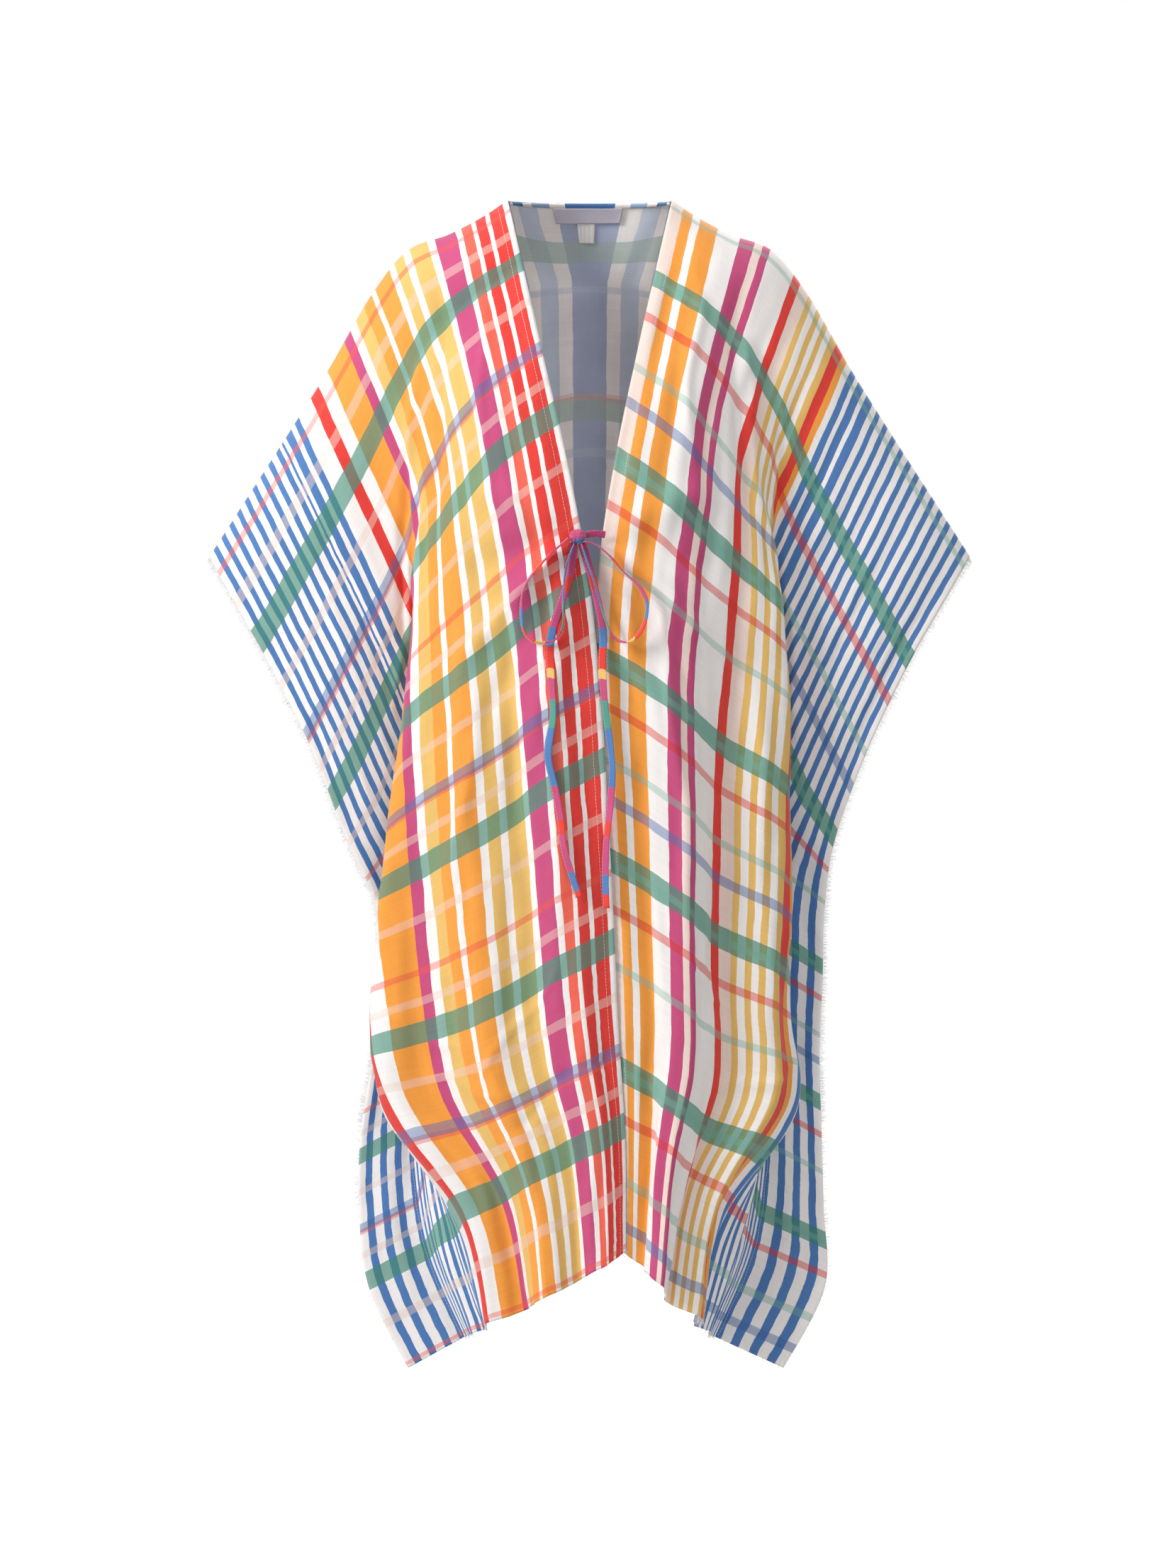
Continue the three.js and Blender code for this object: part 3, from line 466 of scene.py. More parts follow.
def padded(f):
    """At least three columns, because slopes can't be taken from fewer."""
    return f if len(f) > 2 else np.r_[f[0] - 0.02 * np.arange(3 - len(f), 0, -1), f]


trial = surface("front_right", np.linspace(0, 2, 60), np.linspace(0, 1, 90))[0]
print("front spans", np.round(trial.min((0, 1))), "to", np.round(trial.max((0, 1))))

# %% [markdown]
# Materials. The print is a plain woven check of the madras kind: broad and narrow warp stripes in warm
# colours, with thin see-through weft bands that darken what they cross. It is drawn with maths on the
# cloth's own measures (metres across and down), so it follows the grain through every fold. An image
# texture would blur up close, and a projected pattern would slide over the folds.

# %% Node helpers
def linear(colour):
    """An sRGB colour of 0 to 255 as Blender's linear one."""
    channel = np.asarray(colour, float) / 255
    low = channel / 12.92
    high = ((channel + 0.055) / 1.055) ** 2.4
    return (*np.where(channel <= 0.04045, low, high), 1.0)


PALETTE = {
    "white": (244, 238, 235), "blush": (238, 214, 203), "red": (224, 58, 50), "coral": (236, 98, 80),
    "orange": (243, 156, 62), "ochre": (228, 184, 104), "magenta": (194, 74, 122), "blue": (76, 122, 180),
    "pale_blue": (158, 184, 215), "teal": (76, 152, 134), "mint": (132, 190, 174),
    "satin": (202, 199, 214), "tape": (244, 244, 243), "thread": (240, 234, 228),
    "wrong_side": (240, 237, 237), "yarn": (236, 214, 196), "paper": (205, 205, 205),
}


class Nodes:
    """Short names for making and linking shader nodes in one tree."""

    def __init__(self, tree):
        self.tree = tree

    def add(self, kind, **settings):
        node = self.tree.nodes.new(kind)
        for key, value in settings.items():
            setattr(node, key, value)
        return node

    def link(self, source, target):
        self.tree.links.new(source, target)

    def fill(self, socket, value):
        """Link another node's output to a socket, or set a plain value on it."""
        if hasattr(value, "is_linked"):
            self.link(value, socket)
        else:
            socket.default_value = value

    def maths(self, operation, *values):
        node = self.add("ShaderNodeMath", operation=operation)
        for socket, value in zip(node.inputs, values):
            self.fill(socket, value)
        return node.outputs[0]

    def mix(self, share, first, second, blend="MIX"):
        node = self.add("ShaderNodeMix", data_type="RGBA", blend_type=blend)
        for index, value in ((0, share), (6, first), (7, second)):
            self.fill(node.inputs[index], value)
        return node.outputs[2]

    def noise(self, vector, scale, detail=2.0):
        node = self.add("ShaderNodeTexNoise")
        self.link(vector, node.inputs["Vector"])
        node.inputs["Scale"].default_value = scale
        node.inputs["Detail"].default_value = detail
        return node.outputs["Fac"]

    def scaled(self, vector, factors):
        node = self.add("ShaderNodeVectorMath", operation="MULTIPLY")
        self.link(vector, node.inputs[0])
        node.inputs[1].default_value = factors
        return node.outputs[0]


def group(name, inputs, outputs):
    tree = bpy.data.node_groups.new(name, "ShaderNodeTree")
    for label, kind in inputs:
        tree.interface.new_socket(name=label, in_out="INPUT", socket_type=kind)
    for label, kind in outputs:
        tree.interface.new_socket(name=label, in_out="OUTPUT", socket_type=kind)
    nodes = Nodes(tree)
    return tree, nodes, nodes.add("NodeGroupInput"), nodes.add("NodeGroupOutput")

# %% [markdown]
# Weave. A woven cloth is never one flat tone: yarns vary in width and dye, and here and there a slub
# thickens. Noise stretched along the warp and along the weft gives both, as a tint and as a height for
# bump. A real grid of threads could be modelled instead, but it would need millions of faces.

# %% The weave of the cloth
def weave_group():
    """Uneven yarns: a value near 1 that tints the print, and a height for bump. Grain is in metres."""
    tree, nodes, start, end = group("weave", [("Grain", "NodeSocketVector")],
                                    [("Tint", "NodeSocketFloat"), ("Height", "NodeSocketFloat")])
    grain = start.outputs["Grain"]
    warp = nodes.noise(nodes.scaled(grain, (1500, 26, 1)), 1.0, 1.0)
    weft = nodes.noise(nodes.scaled(grain, (22, 1400, 1)), 1.0, 1.0)
    slub = nodes.noise(nodes.scaled(grain, (16, 420, 1)), 1.0, 2.0)
    cloud = nodes.noise(grain, 14.0, 3.0)
    yarns = nodes.maths("ADD", warp, weft)
    fine = nodes.maths("MULTIPLY_ADD", yarns, 0.13, 0.87)
    rough = nodes.maths("MULTIPLY_ADD", slub, 0.10, -0.05)
    worn = nodes.maths("MULTIPLY_ADD", cloud, 0.10, -0.05)
    nodes.link(nodes.maths("ADD", fine, nodes.maths("ADD", rough, worn)), end.inputs["Tint"])
    nodes.link(nodes.maths("MULTIPLY_ADD", slub, 0.5, yarns), end.inputs["Height"])
    return tree


WEAVE = weave_group()
print("weave group:", len(WEAVE.nodes), "nodes")

# %% [markdown]
# The stripes of each panel are one colour ramp with hard steps, read across the cloth. Weft bands are
# rows of the table below, each repeated down the cloth with its own period. A band multiplies a little
# into what it crosses, as thin dyed yarns do.

# %% Stripes and bands of each panel
# Warp stripes, each a colour and its width in millimetres, from the front edge outwards.
STRIPES = {
    "front_right":
        "white 6, red 16, white 5, red 11, white 5, coral 11, white 6, magenta 22, white 8, ochre 20, "
        "white 7, ochre 13, white 8, orange 24, white 7, orange 15, ochre 15, white 11, magenta 13, "
        "orange 34, white 18, red 14, white 22, blue 9, white 6, blue 9, white 6, blue 9, pale_blue 60",
    "front_left":
        "blush 14, orange 11, white 9, orange 20, white 24, magenta 15, blush 9, magenta 8, white 34, "
        "red 12, blush 14, ochre 7, white 8, ochre 7, white 8, ochre 7, white 9, ochre 9, red 13, "
        "orange 8, white 9, blue 9, white 6, blue 9, white 6, blue 9, pale_blue 70",
    "back":
        "blue 15, white 12, pale_blue 16, white 11, blue 16, white 13, ochre 6, white 7, ochre 6, "
        "white 14, orange 22, white 12, red 12, white 9, red 12, white 24, magenta 14, blush 16, "
        "ochre 18, white 12, orange 30, white 20, teal 12, white 22, blue 9, white 6, blue 9, "
        "pale_blue 80",
}
# Even blue stripes run from these places out to the frayed edges.
FINE_STRIPE = {"pitch": 14.5, "share": 0.46}
FINE_FROM = {"front_right": 344, "front_left": 292, "back": 372}
# Weft bands as (colour, period down the cloth, first place, height, strength), in millimetres.
BANDS = {
    "front_right": [("teal", 172, 96, 24, 0.82), ("coral", 172, 40, 7, 0.55), ("blush", 86, 70, 9, 0.5),
                    ("blue", 344, 204, 12, 0.6)],
    "front_left": [("teal", 196, 118, 24, 0.82), ("red", 196, 172, 9, 0.6), ("mint", 98, 30, 8, 0.5),
                   ("blue", 392, 262, 11, 0.6)],
    "back": [("teal", 184, 60, 26, 0.78), ("pale_blue", 184, 118, 10, 0.6), ("coral", 368, 240, 8, 0.5)],
}

# %% [markdown]
# The print as nodes. Each panel has one node group that both of its materials share, so a stripe is
# changed in one place only. Painting an image would be freer, but nodes stay sharp at any distance.

# %% Print of each panel
def stripe_ramp(nodes, text):
    """A colour ramp with hard steps for stripes such as "white 6, red 16", and the width of them all."""
    stripes = [(part.split()[0], int(part.split()[1])) for part in text.split(",")]
    ramp_node = nodes.add("ShaderNodeValToRGB")
    ramp = ramp_node.color_ramp
    ramp.interpolation = "CONSTANT"
    total = sum(width for _, width in stripes)
    place = 0
    for index, (colour, width) in enumerate(stripes):
        stop = ramp.elements[0] if index == 0 else ramp.elements.new(place / total)
        stop.position = place / total
        stop.color = linear(PALETTE[colour])
        place += width
    ramp.elements.remove(ramp.elements[len(ramp.elements) - 1])
    return ramp_node, total


def print_group(panel):
    """The panel's print. Grain is in metres: across from the front edge or centre back, and down."""
    tree, nodes, start, end = group(f"print_{panel}", [("Grain", "NodeSocketVector")],
                                    [("Color", "NodeSocketColor")])
    grain = start.outputs["Grain"]
    parts = nodes.add("ShaderNodeSeparateXYZ")
    nodes.link(grain, parts.inputs[0])
    wander = nodes.maths("MULTIPLY_ADD", nodes.noise(grain, 38.0, 3.0), 0.0028, -0.0014)
    across = nodes.maths("ADD", nodes.maths("ABSOLUTE", parts.outputs[0]), wander)
    down = nodes.maths("ADD", parts.outputs[1], wander)

    ramp_node, total = stripe_ramp(nodes, STRIPES[panel])
    nodes.link(nodes.maths("MULTIPLY", across, 1 / (total * MM)), ramp_node.inputs[0])

    turn = nodes.maths("FRACT", nodes.maths("MULTIPLY", across, 1 / (FINE_STRIPE["pitch"] * MM)))
    past = nodes.maths("GREATER_THAN", across, FINE_FROM[panel] * MM)
    is_fine = nodes.maths("MULTIPLY", nodes.maths("LESS_THAN", turn, FINE_STRIPE["share"]), past)
    colour = nodes.mix(past, ramp_node.outputs[0], linear(PALETTE["white"]))
    colour = nodes.mix(is_fine, colour, linear(PALETTE["blue"]))
    for name, period, first, height, strength in BANDS[panel]:
        row = nodes.maths("FRACT", nodes.maths("MULTIPLY_ADD", down, 1 / (period * MM), -first / period))
        band = nodes.maths("MULTIPLY", nodes.maths("LESS_THAN", row, height / period), strength)
        colour = nodes.mix(band, colour, nodes.mix(0.35, linear(PALETTE[name]), colour, "MULTIPLY"))
    nodes.link(colour, end.inputs["Color"])
    return tree


PRINTS = {panel: print_group(panel) for panel in STRIPES}
print("print groups:", list(PRINTS))

# %% [markdown]
# Cloth. Each panel has two materials, the printed face and a paler wrong side. Roughness and sheen give
# the dry glow of thin cotton, and a little subsurface light lets the lamp behind shine through. A mix
# with a translucent shader would do that too, but one Principled shader is simpler to read and change.

# %% Cloth materials, right side and wrong side
def principled(name, roughness, sheen=0.0, specular=0.35):
    material = bpy.data.materials.new(name)
    material.use_nodes = True
    nodes = Nodes(material.node_tree)
    shader = next(n for n in material.node_tree.nodes if n.type == "BSDF_PRINCIPLED")
    shader.inputs["Roughness"].default_value = roughness
    shader.inputs["Sheen Weight"].default_value = sheen
    shader.inputs["Sheen Roughness"].default_value = 0.5
    shader.inputs["Specular IOR Level"].default_value = specular
    return material, nodes, shader


def grain_of(nodes):
    return nodes.add("ShaderNodeUVMap", uv_map="grain").outputs[0]


def tint(nodes, shader, colour, shade):
    """The base colour, darkened where the shade is below 1."""
    nodes.link(nodes.mix(1.0, colour, shade, "MULTIPLY"), shader.inputs["Base Color"])


def apply_bump(nodes, shader, height, strength, distance):
    bump = nodes.add("ShaderNodeBump")
    bump.inputs["Strength"].default_value = strength
    bump.inputs["Distance"].default_value = distance
    nodes.link(height, bump.inputs["Height"])
    nodes.link(bump.outputs[0], shader.inputs["Normal"])


SHINE_THROUGH = {"weight": 0.35, "scale": 0.0015}  # how much light passes into the thin cloth
WRONG_SIDE_FADE = 0.46


def cloth_material(name, print_tree, wrong_side=False):
    """Printed plain weave. The wrong side shows the same print paler, because the dye sits on the face."""
    material, nodes, shader = principled(name, 0.8, 0.18)
    shader.inputs["Subsurface Weight"].default_value = SHINE_THROUGH["weight"]
    shader.inputs["Subsurface Radius"].default_value = (1, 1, 1)
    shader.inputs["Subsurface Scale"].default_value = SHINE_THROUGH["scale"]
    grain = grain_of(nodes)
    print_node = nodes.add("ShaderNodeGroup", node_tree=print_tree)
    weave_node = nodes.add("ShaderNodeGroup", node_tree=WEAVE)
    nodes.link(grain, print_node.inputs[0])
    nodes.link(grain, weave_node.inputs[0])
    colour = print_node.outputs[0]
    if wrong_side:
        colour = nodes.mix(WRONG_SIDE_FADE, colour, linear(PALETTE["wrong_side"]))
    tint(nodes, shader, colour, weave_node.outputs["Tint"])
    apply_bump(nodes, shader, weave_node.outputs["Height"], 0.35, 0.0004)
    return material


CLOTH = {panel: (cloth_material(f"cloth_{panel}", PRINTS[panel]),
                 cloth_material(f"cloth_{panel}_wrong_side", PRINTS[panel], True)) for panel in PRINTS}
print("cloth materials:", [material.name for pair in CLOTH.values() for material in pair])

# %% [markdown]
# Small parts. Label satin is smooth with a fine cross thread, and tape, thread and yarn are duller. A
# plain colour would do from afar, but a little noise keeps them from looking like plastic.

# %% Label, thread and yarn materials
def satin_material():
    """Label satin: smooth, with a fine cross thread that catches the light."""
    material, nodes, shader = principled("label_satin", 0.34, 0.1, 0.6)
    grain = grain_of(nodes)
    threads = nodes.noise(nodes.scaled(grain, (120, 2600, 1)), 1.0, 1.0)
    shade = nodes.maths("MULTIPLY_ADD", threads, 0.14, 0.91)
    tint(nodes, shader, linear(PALETTE["satin"]), shade)
    apply_bump(nodes, shader, threads, 0.25, 0.0003)
    return material


def tape_material(name, colour, roughness):
    """Plain woven tape or thread, a little uneven."""
    material, nodes, shader = principled(name, roughness, 0.15)
    place = nodes.add("ShaderNodeTexCoord").outputs["Object"]
    yarns = nodes.noise(nodes.scaled(place, (900, 900, 900)), 1.0, 2.0)
    cloud = nodes.noise(place, 60.0, 2.0)
    shade = nodes.maths("MULTIPLY_ADD", nodes.maths("ADD", yarns, cloud), 0.12, 0.87)
    tint(nodes, shader, linear(PALETTE[colour]), shade)
    apply_bump(nodes, shader, yarns, 0.3, 0.0003)
    return material


def yarn_material():
    """Loose yarn ends take the colour of the stripe that they come from, mostly white and pale blue."""
    material, nodes, shader = principled("frayed_yarn", 0.85, 0.3)
    place = nodes.add("ShaderNodeTexCoord").outputs["Object"]
    ramp_node = nodes.add("ShaderNodeValToRGB")
    ramp = ramp_node.color_ramp
    ramp.elements[0].color = linear(PALETTE["pale_blue"])
    ramp.elements[0].position = 0.34
    ramp.elements[1].color = linear(PALETTE["yarn"])
    ramp.elements[1].position = 0.68
    middle = ramp.elements.new(0.46)
    middle.color = linear(PALETTE["white"])
    nodes.link(nodes.noise(place, 55.0, 2.0), ramp_node.inputs[0])
    shade = nodes.maths("MULTIPLY_ADD", nodes.noise(place, 900.0, 1.0), 0.2, 0.88)
    tint(nodes, shader, ramp_node.outputs[0], shade)
    return material


SATIN = satin_material()
TAPE = tape_material("care_tape", "tape", 0.7)
THREAD = tape_material("sewing_thread", "thread", 0.6)
YARN = yarn_material()
print("small materials:", [material.name for material in (SATIN, TAPE, THREAD, YARN)])

# %% [markdown]
# Ties. They are strips of the same cloth cut across its stripes, so their colours change along them.
# The fronts' own print could be used again, but it would run the wrong way on a strip.

# %% Tie cloth material
TIE_STRIPES = ("magenta 34, red 14, magenta 38, blue 18, red 22, ochre 10, magenta 20, teal 28, blue 58")


def tie_material():
    """The ties are cut from the same cloth across its stripes, so their colours change along them."""
    material, nodes, shader = principled("tie_cloth", 0.78, 0.2)
    grain = grain_of(nodes)
    parts = nodes.add("ShaderNodeSeparateXYZ")
    nodes.link(grain, parts.inputs[0])
    wander = nodes.maths("MULTIPLY_ADD", nodes.noise(grain, 160.0, 2.0), 0.006, -0.003)
    ramp_node, total = stripe_ramp(nodes, TIE_STRIPES)
    place = nodes.maths("ADD", parts.outputs[1], wander)
    turn = nodes.maths("FRACT", nodes.maths("MULTIPLY", place, 1 / (total * MM)))
    nodes.link(turn, ramp_node.inputs[0])
    weave_node = nodes.add("ShaderNodeGroup", node_tree=WEAVE)
    nodes.link(grain, weave_node.inputs[0])
    tint(nodes, shader, ramp_node.outputs[0], weave_node.outputs["Tint"])
    apply_bump(nodes, shader, weave_node.outputs["Height"], 0.3, 0.0003)
    return material


TIE = tie_material()
print("materials:", len(bpy.data.materials))

# %% [markdown]
# From a grid of points to a piece. bmesh makes a flat grid with the right number of squares, and its
# vertices are then moved to the worked-out places. The UV map called grain keeps where each vertex lay on
# the flat cloth, in metres. Solidify gives the sheet its thickness, and its wrong side a material of its
# own.

# %% Making pieces
def place_piece(name, mesh, materials, nodes=()):
    obj = bpy.data.objects.new(name, mesh)
    scene.collection.objects.link(obj)
    for material in materials:
        mesh.materials.append(material)
    for polygon in mesh.polygons:
        polygon.use_smooth = True
    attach(obj, "root")
    if nodes:
        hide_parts(*nodes)
    return obj


SAMPLE_FACES = 40


def grid_mesh(name, points, grain, outward, is_tube=False):
    """A mesh from rows by columns of points in millimetres. outward is the normal that it should have."""
    rows, columns = points.shape[:2]
    bm = bmesh.new()
    bmesh.ops.create_grid(bm, x_segments=columns - 1, y_segments=rows - 1, size=1)
    bm.verts.index_update()
    flat = points.reshape(-1, 3) * MM
    places = grain.reshape(-1, 2)
    order = {}
    for vertex in bm.verts:
        column = round((vertex.co.x + 1) / 2 * (columns - 1))
        row = round((vertex.co.y + 1) / 2 * (rows - 1))
        order[vertex.index] = row * columns + column
    layer = bm.loops.layers.uv.new("grain")
    for face in bm.faces:
        for loop in face.loops:
            loop[layer].uv = places[order[loop.vert.index]]
    for vertex in bm.verts:
        vertex.co = flat[order[vertex.index]]
    if is_tube:
        bmesh.ops.remove_doubles(bm, verts=bm.verts, dist=1e-6)
        bmesh.ops.holes_fill(bm, edges=[e for e in bm.edges if e.is_boundary], sides=0)
    bm.normal_update()
    # A sample of faces votes, since one folded face alone could point the wrong way.
    sample = list(bm.faces)[::max(1, len(bm.faces) // SAMPLE_FACES)]
    votes = sum(face_agrees(face, flat, outward) for face in sample)
    if votes < len(sample) / 2:
        bmesh.ops.reverse_faces(bm, faces=bm.faces)
    mesh = bpy.data.meshes.new(name)
    bm.to_mesh(mesh)
    bm.free()
    return mesh


def face_agrees(face, flat, outward):
    centre = np.array(face.calc_center_median())
    index = int(np.argmin(np.linalg.norm(flat - centre, axis=1)))
    return float(np.dot(np.array(face.normal), outward.reshape(-1, 3)[index])) > 0


def solidify(obj, thick_mm, has_wrong_side=False):
    modifier = obj.modifiers.new("thickness", "SOLIDIFY")
    modifier.thickness = thick_mm * MM
    modifier.offset = -1
    if has_wrong_side:
        modifier.material_offset = 1
        modifier.material_offset_rim = 1


def grain_grid(across, down):
    """The grain of a grid of points, from its places across and its places down."""
    return np.stack(np.broadcast_arrays(across[None, :], down[:, None]), axis=-1)


def panel_grain(name, c, t):
    """Places on the flat cloth in metres, across and down."""
    across = cloth_across(name, np.abs(c) - 1) * np.sign(c) if name == "back" else cloth_across(name, c)
    return grain_grid(across * MM, t * CLOTH_LENGTH * MM)

# %% [markdown]
# The three panels. Rows are closer together over the shoulder, where the cloth rolls, and even below. A
# grid of about three millimetres on the fronts and five on the back carries the fine creases. Anything
# finer is left to bump.

# %% Panels
ROWS = np.r_[np.linspace(0, ROLL_END, 24)[:-1], np.linspace(ROLL_END, 1, 200)]
FRONT_COLUMNS = np.r_[np.linspace(0, 1, 132)[:-1], np.linspace(1, 2, 20)]
BACK_HALF = np.r_[np.linspace(0, 1, 15)[:-1], np.linspace(1, 2, 82)[:-1], np.linspace(2, 3, 13)]
BACK_COLUMNS = np.r_[-BACK_HALF[:0:-1], BACK_HALF]

for name, columns in (("front_right", FRONT_COLUMNS), ("front_left", FRONT_COLUMNS),
                      ("back", BACK_COLUMNS)):
    points, normals = surface(name, columns, ROWS)
    lifted = points + normals * (CLOTH_THICK / 2)
    mesh = grid_mesh(name + "_cloth", lifted, panel_grain(name, columns, ROWS), normals)
    panel = place_piece(name + "_cloth", mesh, CLOTH[name], [name])
    solidify(panel, CLOTH_THICK, True)
    print(name, "area", round(sum(p.area for p in mesh.polygons), 3), "faces", len(mesh.polygons))

# %% [markdown]
# Hems and the neck edge. The front edges are turned in and stitched, so a narrow strip lies inside each
# one; it is the same surface moved inwards. The back neck edge is a rolled hem, a thin flattened tube
# bent along the neck line, which is rounder than a second flat strip would be.

# %% Front hems
HEM_LIFT = 0.65  # from the middle of the panel to the face of the turned hem


def inner_strip(name, panel, columns, rows, distance, thick, materials, nodes):
    points, normals = surface(panel, columns, rows)
    inside = points - normals * distance
    mesh = grid_mesh(name, inside, panel_grain(panel, columns, rows), -normals)
    piece = place_piece(name, mesh, materials, nodes)
    solidify(piece, thick)
    return piece


for side in ("right", "left"):
    hem_columns = np.linspace(0.002, FRONT_HEM / TO_SEAM, 8)
    inner_strip(f"front_hem_{side}_turned", f"front_{side}", hem_columns, ROWS[3:],
                             HEM_LIFT, 0.4, [CLOTH[f"front_{side}"][0]], [f"front_hem_{side}"])

# %% [markdown]
# Neck edge. A rolled hem is round, so rings of points along the neck line are joined into a tube. A
# bevelled curve would be shorter to write, but it couldn't be flattened against the cloth.

# %% Rolled neck edge
NECK_ROLL_SIZE = {"height": 6.2, "depth": 2.4, "inside": 1.0, "ripple": 0.05}


def neck_roll():
    c = np.linspace(-0.985, 0.985, 120)
    t = np.array([0.0004, 0.003, 0.0055])
    points, normals = surface("back", c, t, fine=False)
    middle = points[1] - normals[1] * (NECK_ROLL_SIZE["inside"] + NECK_ROLL_SIZE["depth"] / 2)
    down = unit(points[2] - points[0])
    turns = np.linspace(0, 2 * math.pi, 17)
    ripple = 1 + NECK_ROLL_SIZE["ripple"] * np.sin(c * 90 + 2 * np.sin(c * 13))[:, None]
    ring = np.stack([middle + normals[1] * (math.cos(turn) * NECK_ROLL_SIZE["depth"] / 2) * ripple
                     + down * (math.sin(turn) * NECK_ROLL_SIZE["height"] / 2) for turn in turns])
    out = unit(ring - middle[None])
    mesh = grid_mesh("neck_edge_rolled", ring, grain_grid(c * 0.09, turns * 0.0012), out, True)
    return place_piece("neck_edge_rolled", mesh, [CLOTH["back"][0]], ["neck_edge"])


print("neck edge:", neck_roll().name)

# %% [markdown]
# Labels. A woven satin label is sewn over the neck edge and a short white care tape hangs under it. Both
# are bare. Each takes its points from the inside of the back, so it bends with the cloth, and the satin
# label's ends are held by small stitches.

# %% Labels
LABEL_GRAIN = (0.073, 0.02)  # metres across and down a flat label
LABEL = {"from": -0.284, "to": 0.254, "top": 0.0057, "bottom": 0.03, "inside": 3.9, "thick": 0.35}
CARE = {"from": -0.096, "to": 0.036, "top": 0.025, "bottom": 0.0563, "inside": 2.0, "thick": 0.3}


def label_piece(name, sizes, material, node, ridges=0):
    c = np.linspace(sizes["from"], sizes["to"], 48)
    t = np.linspace(sizes["top"], sizes["bottom"], 24)
    points, normals = surface("back", c, t, fine=False)
    share_down = np.linspace(0, 1, len(t))[:, None]
    share_across = np.linspace(0, 1, len(c))[None, :]
    lift = 0.5 * np.sin(share_across * 5.3 + 0.6) * share_down + 0.25 * np.sin(share_across * 11)
    if ridges:
        lift = 0.35 * np.abs(np.sin(share_across * math.pi * ridges)) + 0.3 * share_down
    inside = points - normals * (sizes["inside"] + lift)[..., None]
    grain = grain_grid(share_across[0] * LABEL_GRAIN[0], share_down[:, 0] * LABEL_GRAIN[1])
    mesh = grid_mesh(name, inside, grain, -normals)
    piece = place_piece(name, mesh, [material], [node])
    solidify(piece, sizes["thick"])
    return piece, inside - normals * 0.1


neck_label, label_edges = label_piece("neck_label_satin", LABEL, SATIN, "neck_label")
care_label, _ = label_piece("care_label_tape", CARE, TAPE, "care_label", ridges=4)
print("labels:", neck_label.name, care_label.name)

# %% [markdown]
# Stitches and frayed yarns are hundreds of short round threads. One curve object with a bevel draws them
# all, and it is turned into a mesh at the end. Array modifiers could repeat one thread, but here each one
# has to follow the folded cloth.

# %% Threads from curves
def threads(name, lines, radius_mm, material, nodes=(), slot=None, taper=0.0):
    """One mesh of threads, each as fine at its end as taper says. lines is a list of point lists."""
    data = bpy.data.curves.new(name, "CURVE")
    data.dimensions = "3D"
    data.bevel_depth = radius_mm * MM
    data.bevel_resolution = 0
    data.use_fill_caps = True
    for line in lines:
        spline = data.splines.new("POLY")
        spline.points.add(len(line) - 1)
        shares = np.linspace(0, 1, len(line))
        for point, place, share in zip(spline.points, line, shares):
            point.co = (*(np.asarray(place) * MM), 1)
            point.radius = 1 - taper * share
    helper = bpy.data.objects.new(name + "_curve", data)
    mesh = bpy.data.meshes.new_from_object(helper)
    mesh.name = name
    bpy.data.objects.remove(helper)
    bpy.data.curves.remove(data)
    mesh.materials.clear()
    return place_piece(name, mesh, [material], nodes)


def resample(points, normals, spacing):
    """Points and normals at even distances along a line."""
    length = travelled(points)
    at = np.arange(0, length[-1], spacing)
    return at_lengths(points, length, at), unit(at_lengths(normals, length, at))


STITCH = {"length": 2.5, "gap": 0.9, "radius": 0.16}


def stitch_lines(points, normals, lift):
    """A row of stitches along a line of surface points, each dipping into the cloth at its ends."""
    step = (STITCH["length"] + STITCH["gap"]) / 4
    line, out = resample(points, normals, step)
    made = []
    for start in range(0, len(line) - 3, 4):
        heights = (-0.1, 0.14, 0.14, -0.1)
        made.append([line[start + k] + out[start + k] * (lift + heights[k]) for k in range(4)])
    return made

# %% [markdown]
# Stitches. Rows run along both front hems, the side seams and the neck label, and later the ties. Each
# stitch is a short thread whose two ends dip into the cloth. A bump map could hint at them, but only
# real threads catch the light along their edges.

# %% Stitches
def seam_line(panel, c, rows, wander):
    columns = np.array([c - 0.01, c, c + 0.01])
    points, normals = surface(panel, columns, rows)
    drift = wander * np.sin(rows * 130)[:, None]
    return points[:, 1] + (points[:, 2] - points[:, 0]) * drift, normals[:, 1]


CLOSED_FROM = 0.43  # share of the length from which the side seams are stitched
SEAM_WANDER = 0.3
closed = ROWS[ROWS > CLOSED_FROM]
stitches = []
for side, mirror in (("right", -1), ("left", 1)):
    for panel, c, rows, wander in ((f"front_{side}", (FRONT_HEM - 2) / TO_SEAM, ROWS[4:], 0.0),
                                   (f"front_{side}", 1.03, closed, SEAM_WANDER),
                                   ("back", 2.03 * mirror, closed, SEAM_WANDER)):
        stitches += stitch_lines(*seam_line(panel, c, rows, wander), CLOTH_THICK / 2)
threads("seam_stitches", stitches, STITCH["radius"], THREAD, slot="frayed_yarn")

label_stitches = []
for line in (label_edges[1:-1, 1], label_edges[1:-1, -2], label_edges[2, 1:-1]):
    toward_front = np.tile((0.0, -1.0, 0.0), (len(line), 1))
    label_stitches += stitch_lines(line, toward_front, 0.0)
label_thread = threads("label_stitches", label_stitches, 0.12, THREAD, slot="frayed_yarn")
print("stitches:", len(stitches) + len(label_stitches))

# %% [markdown]
# Frayed edges. The hems and side edges are raw, with a few millimetres of loose yarn. Every yarn starts in
# the cloth's edge, runs outwards in the plane of the cloth, and bends a little to one side, with a fixed
# seed so that each run is the same.

# %% Frayed yarns
FRAY = {"spacing": 1.25, "shortest": 3.0, "longest": 7.0, "radius": 0.17, "points": 4, "taper": 0.45}
chance = np.random.default_rng(11)


